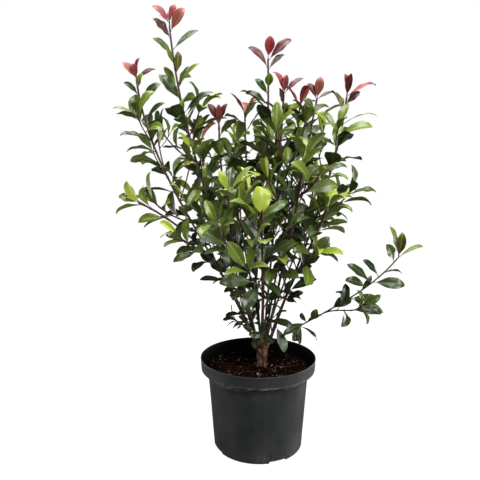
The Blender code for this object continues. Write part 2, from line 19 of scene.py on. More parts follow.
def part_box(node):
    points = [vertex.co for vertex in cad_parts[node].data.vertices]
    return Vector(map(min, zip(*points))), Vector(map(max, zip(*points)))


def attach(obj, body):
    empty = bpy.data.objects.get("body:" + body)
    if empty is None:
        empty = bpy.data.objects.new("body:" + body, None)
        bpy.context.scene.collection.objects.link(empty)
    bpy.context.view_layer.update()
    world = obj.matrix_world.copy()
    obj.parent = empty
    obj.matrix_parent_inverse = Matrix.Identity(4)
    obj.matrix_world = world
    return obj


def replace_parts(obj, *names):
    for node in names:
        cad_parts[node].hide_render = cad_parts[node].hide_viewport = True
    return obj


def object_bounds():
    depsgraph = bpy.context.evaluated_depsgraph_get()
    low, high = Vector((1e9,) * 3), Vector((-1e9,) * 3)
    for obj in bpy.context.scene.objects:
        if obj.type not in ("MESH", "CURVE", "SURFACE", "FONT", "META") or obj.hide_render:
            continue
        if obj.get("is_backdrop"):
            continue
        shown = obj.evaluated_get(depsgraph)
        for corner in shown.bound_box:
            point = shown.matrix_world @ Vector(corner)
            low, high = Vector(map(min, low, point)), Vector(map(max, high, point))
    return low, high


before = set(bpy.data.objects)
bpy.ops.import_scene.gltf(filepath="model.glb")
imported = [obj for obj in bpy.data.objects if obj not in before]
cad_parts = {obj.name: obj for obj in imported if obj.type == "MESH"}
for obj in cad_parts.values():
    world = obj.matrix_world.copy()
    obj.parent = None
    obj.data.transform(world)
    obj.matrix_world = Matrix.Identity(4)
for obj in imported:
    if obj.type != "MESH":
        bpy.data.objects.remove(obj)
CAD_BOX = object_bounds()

BODY = "root"
GAP = 0.0003
MERGE = 0.00001
UP = Vector((0.0, 0.0, 1.0))

# Shared by the meshes and the finishes: a plain place on a mesh, the name of the layer
# of places, a direction to start a tube's rings from, and the colour sockets of a mix.
# Below, a noise has its scale, detail, and perhaps its roughness and stretch; a bump has
# its distance and strength; turns have their ends in degrees and their number of points.
MIDDLE = 0.5
PLACES = "places"
FRAME_START = (0.31, 0.95, 0.05)
FINISHES = {}
PLAIN_SPECULAR = 0.5
NOISE_ROUGHNESS = 0.55
MIX_COLOURS = (6, 7)
MIX_RESULT = 2

# Camera: where the photograph was taken from
CAMERA_PLACE = (-0.045, -1.293, 0.688)
CAMERA_PITCH = math.radians(3.42)
CAMERA_LENS = 39.6
CAMERA_SENSOR = 36.0
CAMERA_SHIFT = -0.085

# Trunk and boughs: sizes shared with the solids
SOIL_SEAT = 0.1885
TRUNK_FOOT = Vector((0.008, 0.018, SOIL_SEAT + GAP))
TRUNK_TOP = Vector((0.011, 0.020, 0.2260))
TRUNK_FLAT = 0.90
RING_RADII = (0.0, 0.0080, 0.0158)
RING_PLACES = (1, 6, 11)
FOOT_RISE = 0.007
FOOT_PULL = 0.36
TIP_PULL = 0.34
BOUGH_RADIUS = 0.0012
BOUGH_RADIUS_GAIN = 0.0024
TIP_RADIUS = 0.0017
TAPER = 0.8
FOOT_SWELL = 1.08
CAP_RUN = 0.004
BOUGH_POINTS = 4
BOUGH_SIDES = 6
HALVINGS = 30

# Growing rule: the solids' own spacing, angles and sizes
STEM_POINTS = 8
TWIG_POINTS = 2
THREE_SIDED = 1.20
SPIRAL = math.radians(137.5)
TWIG_START = 0.030
TWIG_STEP = 0.070
STEP_VARIES = (0.85, 1.20)
TWIG_SHARE = 0.76
TWIG_REACH = 0.135
TWIG_REACH_VARIES = (0.75, 1.15)
TWIG_FADE = 0.45
TWIG_ANGLE = math.radians(48.0)
TWIG_LIFT = 0.8
TWIG_WANDER = 0.3
TWIG_RADIUS = 0.75
FORK_LIFT = 0.6
FORK_RADIUS = 0.85
CURVE_LEAVE = 0.4
CURVE_ARRIVE = 0.3
LEAF_START = 0.016
LEAF_STEP = 0.0210
LEAF_STEP_TWIG = 0.0190
LEAF_EVERY = 2
LEAF_WANDER = 0.25
LEAF_SKY = 0.35
LEAF_ROLL = 0.35
YOUNG_RUN = 0.11
YOUNG_SIDE = 0.7
CROWN_LEAVES = 3
CROWN_YOUNG = 0.8
CROWN_STEP = 0.0045
CROWN_INSET = 0.002
CROWN_RUN = 0.012
LEAF_LENGTH = 0.084
LEAF_LENGTH_YOUNG = 0.074
LEAF_LENGTH_VARIES = (0.85, 1.12)
LEAF_WIDTH = 0.49
LEAF_WIDTH_YOUNG = 0.37
LEAF_WIDTH_VARIES = (0.9, 1.1)
LEAF_PITCH = math.radians(46.0)
LEAF_PITCH_YOUNG = math.radians(26.0)
LEAF_PITCH_VARIES = (0.8, 1.15)
LEAF_BEND = math.radians(34.0)
LEAF_BEND_VARIES = (0.3, 1.4)
LEAF_FOLD = 0.16
LEAF_THICKNESS = 0.0018
LEAF_SINK = 0.0013
LEAF_STATIONS = (0.0, 0.34, 0.70, 1.0)
LEAF_SPREADS = (0.0, 0.84, 1.0, 0.0)
LEAF_RIDGE = 0.30
LEAF_SEGMENTS = (6, 2)
SPACE_SLACK = 0.022
SPACE_STEP = 0.015
SPACE_SHARE = 0.85
CLEARANCE = 0.0007
SOLID_THICKNESS = LEAF_THICKNESS + 2 * CLEARANCE
LOWEST_LEAF = 0.236
LOWEST_TWIG = 0.256
TWIG_ROOT = 0.012
BLADE_FROM = 0.22
LEAF_SEED = 500

Shoot = namedtuple("Shoot", "name tip foot_slope tip_slope leaves_from leaf_size seed forks flush")
Limb = namedtuple("Limb", "shoot points radii order bare corners start")
BOUGH, STEM, FORK, TWIG = range(4)
Leaf = namedtuple("Leaf", "limb distance root along normal length width bend young")

# Each shoot: as in the solids, with the colour that its young leaves flush
SHOOTS = (
    Shoot("leader_left", (-0.216, 0.020, 1.020), (-0.34, 0.04), (-0.10, 0.00), 0.42, 1.0, 148,
          ((0.34, (-0.152, 0.060, 0.778), 0.2),), "red"),
    Shoot("far_left", (-0.292, -0.020, 0.900), (-0.36, -0.06), (-0.12, 0.02), 0.41, 0.9, 76,
          ((0.56, (-0.249, 0.010, 0.785), 0.1),), "red"),
    Shoot("low_left", (-0.276, -0.100, 0.610), (-0.28, -0.18), (-2.00, -0.50), 0.40, 0.8, 95, (),
          "lime"),
    Shoot("mid_left", (-0.098, 0.050, 0.800), (-0.24, 0.10), (0.00, 0.00), 0.40, 1.0, 125,
          ((0.55, (-0.055, 0.085, 0.755), 0.2),), "bronze"),
    Shoot("centre_leader", (0.026, 0.065, 0.965), (0.02, 0.14), (-0.02, 0.00), 0.42, 1.0, 203, (),
          "red"),
    Shoot("centre_right", (0.058, -0.040, 0.862), (0.08, -0.10), (0.06, 0.00), 0.40, 1.0, 84,
          ((0.40, (0.105, -0.070, 0.790), 0.2),), "red"),
    Shoot("right_inner", (0.148, 0.040, 0.862), (0.22, 0.06), (0.20, 0.00), 0.42, 1.0, 93, (),
          "pink"),
    Shoot("right_leader", (0.210, -0.020, 0.858), (0.30, -0.08), (0.12, 0.00), 0.42, 1.0, 84, (),
          "red"),
    Shoot("right_mid", (0.150, -0.120, 0.600), (0.20, -0.26), (0.35, -0.15), 0.36, 0.9, 105, (),
          "lime"),
    Shoot("front_centre", (0.001, -0.200, 0.600), (0.02, -0.50), (0.00, -0.15), 0.400, 1.0, 18, (),
          "lime"),
    Shoot("front_left", (-0.071, -0.160, 0.640), (-0.16, -0.34), (0.00, -0.10), 0.37, 1.0, 25, (),
          "lime"),
    Shoot("front_right", (0.092, -0.150, 0.705), (0.14, -0.32), (0.10, -0.05), 0.40, 1.0, 90, (),
          "lime"),
    Shoot("low_right", (0.335, -0.040, 0.475), (1.30, -0.15), (0.80, 0.00), 0.262, 0.8, 54,
          ((0.34, (0.235, -0.100, 0.372), 0.2),), "lime"),
    Shoot("back_left", (-0.158, 0.200, 0.765), (-0.24, 0.36), (-0.10, 0.12), 0.40, 1.0, 82, (),
          "bronze"),
    Shoot("back_centre", (-0.031, 0.200, 0.845), (-0.06, 0.32), (0.00, 0.08), 0.40, 1.0, 56, (),
          "bronze"),
    Shoot("back_right", (0.121, 0.180, 0.860), (0.18, 0.28), (0.08, 0.08), 0.42, 1.0, 5, (),
          "red"),
    Shoot("back_low_right", (0.160, 0.170, 0.640), (0.26, 0.30), (0.15, 0.15), 0.46, 0.95, 67, (),
          "lime"),
    Shoot("back_low", (-0.045, 0.275, 0.600), (-0.10, 0.60), (0.00, 0.30), 0.37, 0.95, 67, (),
          "bronze"),
)

# Drawn leaves: a real leaf beside the larger solid one, and the shape of its blade
REAL_LENGTH = 1.06
REAL_WIDTH = 0.94
STALK_SHARE = 0.13
STALK_RADIUS = 0.0009
STALK_SIDES = 6
STALK_RINGS = 4
BLADE_ROWS = 20
COLUMNS = np.array((-1.0, -0.72, -0.40, -0.07, 0.07, 0.40, 0.72, 1.0))
BLADE_FOOT = 1.20
BLADE_TIP = 0.92
BLADE_THICKNESS = 0.0005
RIB_GROOVE = 0.0003
RIB_KEEL = 0.0008
FOLD = math.radians(20.0)
FOLD_YOUNG = math.radians(36.0)
DOME = 0.18
HOOK = math.radians(42.0)
TWIST = math.radians(24.0)
WAVE = 0.08
WAVES = 2.3

# How a leaf is drawn: its own variation, its hooked tip, and the ridge of its midrib
DRAWN_WIDTH_VARIES = (0.92, 1.06)
RIB_STEPS = 81
HOOK_FROM = 0.62
HOOK_VARIES = (0.3, 1.5)
ROW_CROWDING = 0.04
TWIST_FROM = 0.15
FOLD_VARIES = (0.5, 1.4)
WAVE_VARIES = (0.2, 1.6)
WAVE_SHIFT = 1.9
BLADE_EDGE = 0.9
BLADE_END = 0.0002
RIB_SPREAD = 0.1
STALK_OVERLAP = 0.03
STALK_SINK = 0.0004
STALK_TAPER = (1.25, 0.75)
LEAF_SHARP = math.radians(60.0)
VEINS = 5.0
VEIN_SLANT = 0.42
VEIN_BUMP = (0.00016, 0.60)
TOP_SPECULAR = 0.5
UNDER_SPECULAR = 0.25
UNDER_ROUGHNESS = 0.62
RIB_ROUGHNESS = 0.45
RIB_NOISE = (900.0, 2.0)
RIB_BUMP = (0.0002, 0.4)

# Sizes of drawn leaves: the youngest red ones are short and slim and the youngest
# pale ones broad, and those low on the upright shoots are small
TIP_YOUTH = 0.70
TIP_SHAPES = {  # length and width beside the usual ones
    "red": (0.96, 0.84),
    "pink": (0.92, 0.80),
    "bronze": (0.88, 0.86),
    "lime": (0.96, 1.30),
    "twig": (0.88, 1.05),
    "low": (0.90, 0.90),
}
LOW_SIZE = 0.62
LOW_FROM = 0.27
LOW_TO = 0.46
SPREADING = 1.0
TIP_LEAVES = 3
TIP_LEAF_SIZES = (0.70, 1.10)
TIP_LEAF_WIDTH = 0.85
TIP_SEED = 8200

# Leaf colours, from the oldest and deepest to the youngest
Tint = namedtuple("Tint", "top under rib stalk gloss")
TINTS = {
    # deep and dark: old leaves inside and low in the crown, and the low leaves set one by one;
    # their darkness there is partly painted shade
    "deep": Tint((0.010, 0.023, 0.009), (0.026, 0.048, 0.018), "rib_green", "stalk_green", 0.34),
    "dark": Tint((0.027, 0.049, 0.011), (0.052, 0.082, 0.025), "rib_green", "stalk_green", 0.33),
    "green": Tint((0.062, 0.094, 0.015), (0.090, 0.130, 0.034), "rib_green", "stalk_green", 0.33),
    "fresh": Tint((0.125, 0.175, 0.020), (0.190, 0.250, 0.055), "rib_lime", "stalk_green", 0.34),
    # pale: a grey-green that paints the sheen of a glossy leaf turned to the sky, made rougher so
    # that it shines less itself
    "pale": Tint((0.120, 0.160, 0.095), (0.140, 0.180, 0.110), "rib_green", "stalk_green", 0.42),
    "lime": Tint((0.330, 0.400, 0.035), (0.360, 0.430, 0.070), "rib_lime", "stalk_green", 0.38),
    "olive": Tint((0.095, 0.085, 0.015), (0.140, 0.140, 0.035), "rib_lime", "stalk_red", 0.38),
    "bronze": Tint((0.046, 0.024, 0.013), (0.090, 0.055, 0.028), "rib_red", "stalk_red", 0.42),
    "amber": Tint((0.300, 0.094, 0.062), (0.340, 0.125, 0.080), "rib_red", "stalk_red", 0.46),
    "maroon": Tint((0.070, 0.010, 0.012), (0.130, 0.030, 0.030), "rib_red", "stalk_red", 0.46),
    "crimson": Tint((0.245, 0.019, 0.021), (0.285, 0.038, 0.038), "rib_red", "stalk_red", 0.46),
    "pink": Tint((0.250, 0.044, 0.052), (0.300, 0.062, 0.066), "rib_red", "stalk_red", 0.48),
}
RIBS = {
    "rib_green": (0.085, 0.140, 0.040),
    "rib_lime": (0.260, 0.340, 0.070),
    "rib_red": (0.240, 0.035, 0.030),
    "stalk_green": (0.120, 0.130, 0.035),
    "stalk_red": (0.130, 0.022, 0.018),
}
FLUSHES = {  # the tints of leaves by youth, from the tip's own down
    "red": (("crimson", "pink", "crimson", "maroon"), ("maroon", "bronze", "olive"),
            ("olive", "fresh", "lime"), ("green", "fresh", "green")),
    "pink": (("pink", "crimson", "maroon"), ("maroon", "bronze"), ("olive", "fresh"),
             ("green", "fresh", "dark")),
    "bronze": (("maroon", "amber", "crimson"), ("bronze", "olive"), ("fresh", "olive"),
               ("green", "fresh", "dark")),
    "lime": (("lime", "fresh", "lime", "fresh"), ("fresh", "lime", "fresh"), ("fresh", "green"),
             ("green", "fresh", "dark")),
    "twig": (("fresh", "lime", "green", "fresh"), ("fresh", "green"), ("green", "fresh"),
             ("green", "dark")),
    # low: twigs low in the crown, whose young leaves take dark tints instead of a bright flush, as
    # painted shade
    "low": (("green", "dark", "dark"), ("dark", "green"), ("dark", "deep"), ("dark", "deep")),
}
YOUTHS = (0.75, 0.48, 0.27, 0.10)
LOW_CROWN = 0.47

# Old leaves are darker inside and low down in the crown, and lighter outside and near the top:
# partly the darker colour of shaded old leaves, partly painted shade
LIGHT_FROM = 0.25
LIGHT_RUN = 0.75
LIGHT_REACH = 0.30
LIGHT_UP = 0.45
LIGHT_OUT = 0.35
LIGHT_VARIES = (-0.28, 0.32)
MATURE_TINTS = ((0.30, "deep"), (0.62, "dark"), (0.94, "green"), (math.inf, "fresh"))

# Finer twigs: what the solids leave out, on the masses' limbs and low on the boughs
Finer = namedtuple("Finer", "seed step reach share lowest leaf_size young droop")
FINE_TWIGS = Finer(3000, 0.075, (0.030, 0.060), 0.60, 0.46, 0.95, 0.8, 0.0)
SPRIGS = Finer(71, 0.085, (0.020, 0.050), 1.0, 0.262, 0.80, 0.1, 0.35)
BASE_SHOOT = "low_right"
BARE_STRETCH = (0.0, 0.125)
BARE_REACH = 0.45
FULLNESS = {"low_right": 0.70, "low_left": 0.60}
FULL_SHARE = 0.84
FULLNESS_SEED = 4100
FINE_START = (0.4, 1.0)
FINE_RADIUS = 0.0008
FINE_SHARE = 0.6
FINE_LEAF_VARIES = (0.8, 1.15)
DRAWN_THICKNESS = 0.0010

# Leaves set one by one where the plant shows them clearly: at the tips of its shoots,
# along the low branch and round its foot. Each has the height of its root on the
# shoot, its tip, the side it faces, its width, its bend in degrees and its tint.
PLACED = {
    "leader_left": (
        (1.046, (-0.257, 0.005, 1.080), (0.45, -0.85, 0.35), 0.019, 44, "pink"),
        (1.046, (-0.204, 0.025, 1.089), (-0.40, -0.90, 0.15), 0.019, 14, "crimson"),
        (1.040, (-0.218, 0.035, 1.076), (-0.20, -1.00, 0.30), 0.015, 12, "maroon"),
        (1.040, (-0.238, 0.000, 1.056), (0.40, -0.70, 0.60), 0.013, 30, "pink"),
        (1.018, (-0.180, 0.000, 1.074), (-0.35, -1.00, 0.20), 0.028, 14, "amber"),
        (1.002, (-0.254, 0.002, 1.049), (0.55, -0.80, 0.45), 0.030, 22, "bronze"),
        (0.958, (-0.256, 0.000, 1.002), (0.35, -0.80, 0.60), 0.021, 34, "green"),
        (0.975, (-0.147, 0.040, 1.031), (-0.35, -1.00, 0.20), 0.019, 30, "green"),
        (0.939, (-0.222, -0.010, 0.978), (0.50, -1.00, 0.20), 0.014, 12, "fresh"),
        (0.915, (-0.195, 0.010, 0.971), (0.80, -0.80, 0.10), 0.021, 14, "olive"),
        (0.886, (-0.145, 0.000, 0.942), (-0.75, -0.60, 0.50), 0.017, 24, "fresh"),
        (0.851, (-0.240, -0.005, 0.914), (0.45, -0.90, 0.35), 0.028, 20, "dark"),
        (0.822, (-0.110, 0.011, 0.877), (-0.35, -0.90, 0.55), 0.027, 30, "dark"),
    ),
    "far_left": (
        (0.900, (-0.285, -0.025, 0.950), (-0.60, -0.70, 0.40), 0.017, 14, "crimson"),
        (0.900, (-0.321, -0.035, 0.938), (0.40, -0.95, 0.45), 0.021, 24, "amber"),
        (0.900, (-0.245, -0.020, 0.925), (-0.20, -0.85, 0.75), 0.024, 22, "bronze"),
        (0.900, (-0.296, -0.040, 0.932), (0.30, -1.00, 0.50), 0.014, 16, "pink"),
        (0.875, (-0.274, -0.050, 0.907), (-0.20, -1.00, 0.30), 0.018, 16, "lime"),
        (0.859, (-0.317, -0.040, 0.890), (0.50, -0.75, 0.50), 0.016, 20, "dark"),
        (0.840, (-0.235, -0.030, 0.891), (-0.35, -0.90, 0.45), 0.026, 24, "dark"),
        (0.797, (-0.224, -0.030, 0.844), (-0.55, -0.70, 0.60), 0.020, 34, "dark"),
        (0.314, (-0.083, 0.009, 0.319), (-0.10, -0.45, 0.95), 0.013, 66, "deep"),
    ),
    "mid_left": (
        (0.799, (-0.125, 0.040, 0.849), (0.50, -0.90, 0.40), 0.021, 28, "maroon"),
        (0.799, (-0.078, 0.040, 0.850), (-0.40, -0.95, 0.30), 0.020, 18, "maroon"),
        (0.799, (-0.098, 0.030, 0.845), (0.00, -1.00, 0.20), 0.016, 8, "pink"),
    ),
    "centre_leader": (
        (0.938, (-0.025, 0.065, 0.996), (0.45, -0.85, 0.35), 0.023, 52, "maroon"),
        (0.965, (0.031, 0.050, 1.018), (0.15, -1.00, 0.15), 0.026, 10, "crimson"),
        (0.958, (0.085, 0.060, 1.016), (-0.45, -0.90, 0.25), 0.026, 26, "maroon"),
        (0.936, (0.069, 0.075, 0.979), (-0.45, -0.90, 0.25), 0.018, 30, "bronze"),
        (0.890, (0.028, 0.035, 0.922), (0.00, -1.00, 0.25), 0.020, 10, "fresh"),
        (0.872, (-0.006, 0.045, 0.912), (0.45, -0.90, 0.30), 0.022, 16, "dark"),
        (0.847, (-0.031, 0.049, 0.880), (0.40, -0.85, 0.50), 0.024, 26, "dark"),
    ),
    "centre_right": (
        (0.862, (0.035, -0.040, 0.917), (0.55, -0.80, 0.40), 0.020, 32, "crimson"),
        (0.862, (0.104, -0.040, 0.899), (-0.45, -0.80, 0.55), 0.021, 28, "maroon"),
        (0.862, (0.063, -0.055, 0.904), (0.00, -1.00, 0.20), 0.016, 8, "pink"),
        (0.835, (0.046, -0.070, 0.870), (0.30, -1.00, 0.20), 0.016, 10, "bronze"),
        (0.797, (0.061, -0.074, 0.836), (-0.10, -1.00, 0.20), 0.021, 8, "olive"),
        (0.680, (0.040, -0.103, 0.725), (-0.05, -1.00, 0.30), 0.028, 12, "lime"),
    ),
    "right_inner": (
        (0.860, (0.154, 0.020, 0.912), (-0.20, -1.00, 0.20), 0.024, 10, "amber"),
        (0.858, (0.124, 0.035, 0.898), (0.50, -0.90, 0.30), 0.022, 22, "maroon"),
        (0.859, (0.189, 0.040, 0.879), (-0.30, -0.70, 0.75), 0.015, 30, "bronze"),
        (0.827, (0.115, 0.040, 0.864), (0.40, -0.90, 0.50), 0.022, 26, "green"),
        (0.304, (0.077, -0.020, 0.300), (0.05, -0.70, 0.80), 0.021, 40, "dark"),
    ),
    "right_leader": (
        (0.858, (0.205, -0.030, 0.912), (0.50, -1.00, 0.25), 0.024, 12, "crimson"),
        (0.858, (0.216, -0.040, 0.909), (-0.30, -1.00, 0.20), 0.018, 12, "maroon"),
        (0.858, (0.282, -0.020, 0.892), (-0.30, -0.70, 0.75), 0.018, 34, "crimson"),
        (0.838, (0.237, -0.040, 0.867), (-0.50, -0.90, 0.40), 0.019, 16, "bronze"),
        # a low leaf whose pale tint paints the sheen on its top
        (0.292, (0.066, -0.030, 0.238), (0.35, -1.00, 0.20), 0.027, 14, "pale"),
        (0.304, (0.086, -0.010, 0.294), (0.10, -0.40, 1.00), 0.013, 90, "green"),
    ),
    "front_centre": (
        (0.582, (-0.004, -0.186, 0.651), (0.12, -1.00, 0.30), 0.048, 14, "lime"),
        (0.583, (0.057, -0.187, 0.621), (-0.30, -0.90, 0.55), 0.020, 24, "green"),
    ),
    "front_left": (
        (0.636, (-0.089, -0.170, 0.682), (0.35, -1.00, 0.30), 0.018, 20, "lime"),
        (0.629, (-0.018, -0.139, 0.697), (-0.75, -0.80, 0.30), 0.014, 14, "fresh"),
        (0.633, (-0.063, -0.119, 0.693), (0.00, -1.00, 0.30), 0.020, 16, "dark"),
        (0.285, (-0.037, -0.032, 0.306), (0.20, -0.80, 0.60), 0.022, 26, "deep"),
        (0.276, (-0.006, -0.043, 0.251), (-0.30, -1.00, 0.30), 0.020, 20, "dark"),
        (0.311, (-0.064, -0.044, 0.302), (-0.20, -0.50, 0.90), 0.011, 70, "deep"),
    ),
    "low_right": (
        (0.293, (0.085, -0.028, 0.266), (0.60, -0.90, 0.40), 0.025, 30, "dark"),
        (0.300, (0.060, -0.030, 0.284), (-0.20, -0.80, 0.60), 0.020, 30, "dark"),
        (0.284, (0.100, -0.040, 0.262), (0.40, -0.90, 0.40), 0.015, 26, "deep"),
        (0.290, (0.150, -0.007, 0.258), (0.30, -0.30, 1.00), 0.014, 60, "deep"),
        (0.302, (0.107, 0.018, 0.323), (-0.70, -0.50, 0.60), 0.012, 70, "dark"),
        (0.308, (0.144, -0.014, 0.340), (0.10, -1.00, 0.45), 0.018, 24, "green"),
        (0.299, (0.162, 0.019, 0.318), (-0.30, -0.60, 0.80), 0.016, 30, "fresh"),
        (0.364, (0.187, -0.028, 0.388), (0.10, -0.40, 1.00), 0.011, 70, "deep"),
        (0.370, (0.296, -0.060, 0.346), (-0.10, -0.80, 0.70), 0.024, 16, "green"),
        (0.370, (0.289, -0.050, 0.375), (-0.05, -0.90, 0.50), 0.022, 18, "green"),
        (0.389, (0.275, -0.027, 0.428), (0.30, -0.90, 0.30), 0.015, 16, "deep"),
        (0.399, (0.206, -0.050, 0.423), (0.40, -0.80, 0.60), 0.025, 40, "dark"),
        (0.409, (0.212, -0.042, 0.459), (0.45, -0.75, 0.60), 0.023, 30, "dark"),
        (0.412, (0.346, -0.063, 0.413), (-0.10, -0.90, 0.50), 0.028, 24, "dark"),
        (0.425, (0.249, -0.046, 0.470), (0.55, -0.70, 0.60), 0.022, 30, "deep"),
        (0.435, (0.345, -0.047, 0.438), (0.00, -0.40, 1.00), 0.011, 60, "deep"),
        (0.462, (0.301, -0.060, 0.508), (0.40, -1.00, 0.35), 0.029, 16, "green"),
        (0.475, (0.313, -0.050, 0.551), (0.60, -1.00, 0.20), 0.021, 14, "fresh"),
        (0.475, (0.334, -0.070, 0.536), (-0.20, -1.00, 0.20), 0.025, 10, "olive"),
        (0.473, (0.395, -0.040, 0.505), (-0.15, -0.50, 0.90), 0.012, 34, "fresh"),
    ),
}

# Above these heights, a shoot's stem has no other leaves
CLEARED = {
    "leader_left": 0.815,
    "far_left": 0.790,
    "mid_left": 0.790,
    "centre_leader": 0.840,
    "centre_right": 0.790,
    "right_inner": 0.825,
    "right_leader": 0.835,
    "front_centre": 0.575,
    "front_left": 0.620,
    "low_right": 0.355,
}

# Where the tallest shoot's tip goes on to
EXTENSIONS = {"leader_left": (-0.2175, 0.020, 1.047)}
PLACED_YOUTH = 0.35
PLACED_SEED = 6100

# Stems and twigs as drawn
STEM_GIRTHS = (0.84, 1.42)
GIRTHS = {"centre_leader": 1.75, "leader_left": 1.20, "front_left": 1.15, "right_leader": 1.15}
STEM_SPACING = 0.004
STEM_SIDES = 8
TWIG_SPACING = 0.005
TWIG_SIDES = 6
FEWEST_RINGS = 4
TWIG_SINK = 0.3
TIP_CLOSE = 0.5
STEM_WANDER = 0.05
NODE_SWELL = 0.35
NODE_RUN = 0.0022
YOUNG_STEM = 0.10
RED_STEM = 0.24
STEM_SHARP = math.radians(50.0)
STEM_NOISE = (700.0, 3.0)
STEM_BUMP = (0.0004, 0.6)
STEM_COLOURS = {  # colour and roughness
    "stem_young": ((0.062, 0.012, 0.013), 0.42),
    "stem_red": ((0.070, 0.020, 0.015), 0.50),
    "stem_brown": ((0.050, 0.028, 0.018), 0.62),
}
MASS_SEED = 9000

# Trunk as drawn: its flutes, and how the feet of the boughs are drawn in to it
DRAWN_TRUNK = (  # share of the height, radius
    (0.00, 0.0172),
    (0.10, 0.0142),
    (0.26, 0.0122),
    (0.50, 0.0118),
    (0.74, 0.0128),
    (0.90, 0.0132),
    (1.00, 0.0128),
)
TRUNK_RINGS = 26
TRUNK_SIDES = 40
TRUNK_FLUTES = 5
TRUNK_FLUTE = 0.26
FLUTE_TURN = 3.0
TRUNK_CLOSES = 0.80
TRUNK_CLOSING = 1.4
TRUNK_LEAST = 0.7
GATHER = 0.62
GATHER_RISE = 0.036
GATHER_FROM = 0.017
GATHER_OUT = 0.020
BOUGH_OVERLAP = 0.003
BOUGH_SINK = 0.004
BOUGH_END = 0.9
FOOT_RUN = 0.034
FOOT_SINK = 0.016
FOOT_HEART = 0.30
FOOT_SIZES = (0.97, 1.37)
FOOT_POWER = 1.5
FOOT_RINGS = 8
FOOT_SIDES = 12
VOXEL = 0.0008
SOFTEN = 0.5
SOFTEN_TIMES = 4

# Bark: its relief, and tan bark that turns dark above a height, later on some boughs
BARK_SIDES = 14
BARK_SPACING = 0.0022
BARK_RELIEF = 0.13
BARK_GRAIN = Vector((300.0, 300.0, 62.0))
TRUNK_RELIEF = 0.0016
FINE_GRAIN = 2.1
FINE_RELIEF = 0.5
BARK_SHARP = math.radians(60.0)
BARK_TURNS = 0.222
BARK_TURN_RUNS = {"bark_old": 0.320, "bark_dark": 0.090}
BARK_TURN_VARIES = 0.25
TAN_SHOOTS = ("centre_leader", "centre_right", "front_left", "front_centre", "mid_left")
BARK_PLAIN = ((0.10, 0.06, 0.04), 0.8)
BARK_ROUGHNESS = (0.62, 0.25)  # least, and gain with the grain
BARK_NOISE = (170.0, 6.0, 0.6, (1.0, 1.0, 0.20))
BARK_PATCHES = (60.0, 3.0)
BARK_SHARES = (0.7, 0.3)
BARK_BUMP = (0.0022, 0.9)
TAN_BARK = (
    (0.39, (0.006, 0.003, 0.002)),
    (0.47, (0.046, 0.021, 0.009)),
    (0.54, (0.150, 0.072, 0.029)),
    (0.63, (0.370, 0.215, 0.108)),
)
DARK_BARK = (
    (0.32, (0.013, 0.009, 0.006)),
    (0.48, (0.048, 0.030, 0.018)),
    (0.60, (0.105, 0.068, 0.040)),
    (0.72, (0.200, 0.140, 0.085)),
)

# Pot: the sizes of the solid one, then its rounded edges and drain slots
POT_FOOT_RADIUS = 0.104
POT_CORNER = 0.005
POT_WALL_RADIUS = 0.1235
POT_BAND_RADIUS = 0.143
POT_BAND_FOOT = 0.183
POT_BAND_SLOPE = 0.007
POT_WALL = 0.003
POT_FLOOR = 0.004
POT_LIP = 0.003
POT_STEPS = 128
POT_CHAMFER = 0.003
LIP_RUN = 0.010
LIP_TURNS = (180.0, -20.0, 9)
BAND_TOP = (0.0006, 0.006)  # in from the band, down from the top
BAND_LOW = (0.0022, 0.003)  # in from the band, up from its slope
BAND_EDGE = (0.0052, 0.0025)
BAND_ROUND = 0.003
BAND_SHOULDER = 0.003
BAND_TURNS = (0.0, -70.0, 5)
NECK_ROUND = 0.0030
NECK_DROP = 0.0010
NECK_TURNS = (110.0, 180.0, 5)
WALL_STEPS = 12
WALL_FROM = 0.001
WALL_TO = 0.004
FOOT_TURNS = (0.0, -90.0, 6)
FOOT_RIMS = (0.006, 0.008)
FOOT_HOLLOW = 0.0012
DRAIN_WIDTH = 0.044
DRAIN_HEIGHT = 0.006
DRAIN_REACH = 0.020
DRAIN_TURN = math.radians(-66.0)
DRAINS = 4
DENT = 0.0007
DENT_SCALE = 14.0
DENT_FADE = 0.03
DENT_LIP = 0.012
DENT_FROM = 0.05
INSIDE_TURN = 0.5
POT_SHARP = math.radians(38.0)
SEAM = 0.0001

# Pot's finish: dust in clouds, specks and at the foot, lighter patches along the band's edge, and
# an inside painted darker as shade
POT_PLASTIC = ((0.02, 0.02, 0.02), 0.5)  # colour, roughness
POT_DUST = (
    (0.20, (0.020, 0.022, 0.023)),
    (0.40, (0.040, 0.042, 0.042)),
    (0.62, (0.090, 0.093, 0.091)),
    (1.00, (0.270, 0.270, 0.262)),
)
# Lighter patches along the band's lower edge: their rise, run, noise, threshold and gain
BAND_LINE_RISE = 0.003
BAND_LINE_RUN = 0.011
BAND_LINE_NOISE = (55.0, 8.0, 0.72)
BAND_LINE_FROM = 0.38
BAND_LINE_GAIN = 4.2
FOOT_DUST_RUN = 0.075
FOOT_DUST_NOISE = (30.0, 8.0, 0.7)
FOOT_DUST = 0.20
CLOUD_NOISE = (16.0, 8.0, 0.68, (1.0, 1.0, 0.55))
CLOUD_DUST = 0.62
SPECK_NOISE = (300.0, 3.0, 0.6)
SPECK_FROM = 0.60
SPECK_GAIN = 7.0
SPECK_LEAST = 0.10
POT_ROUGHNESS = (0.36, 0.35)  # least, and gain with the dust
POT_GRAIN = (1500.0, 2.0)
POT_GRAIN_CLOUD = 0.5
POT_BUMP = (0.0002, 0.35)
# The inside wall is painted far darker than the plastic: painted shade in the pot's hollow
POT_INSIDE_SHADE = ((0.0030, 0.0030, 0.0032), 0.7, 0.12)  # colour, roughness, specular
INSIDE_NOISE = (300.0, 5.0)
INSIDE_BUMP = (0.0005, 0.5)

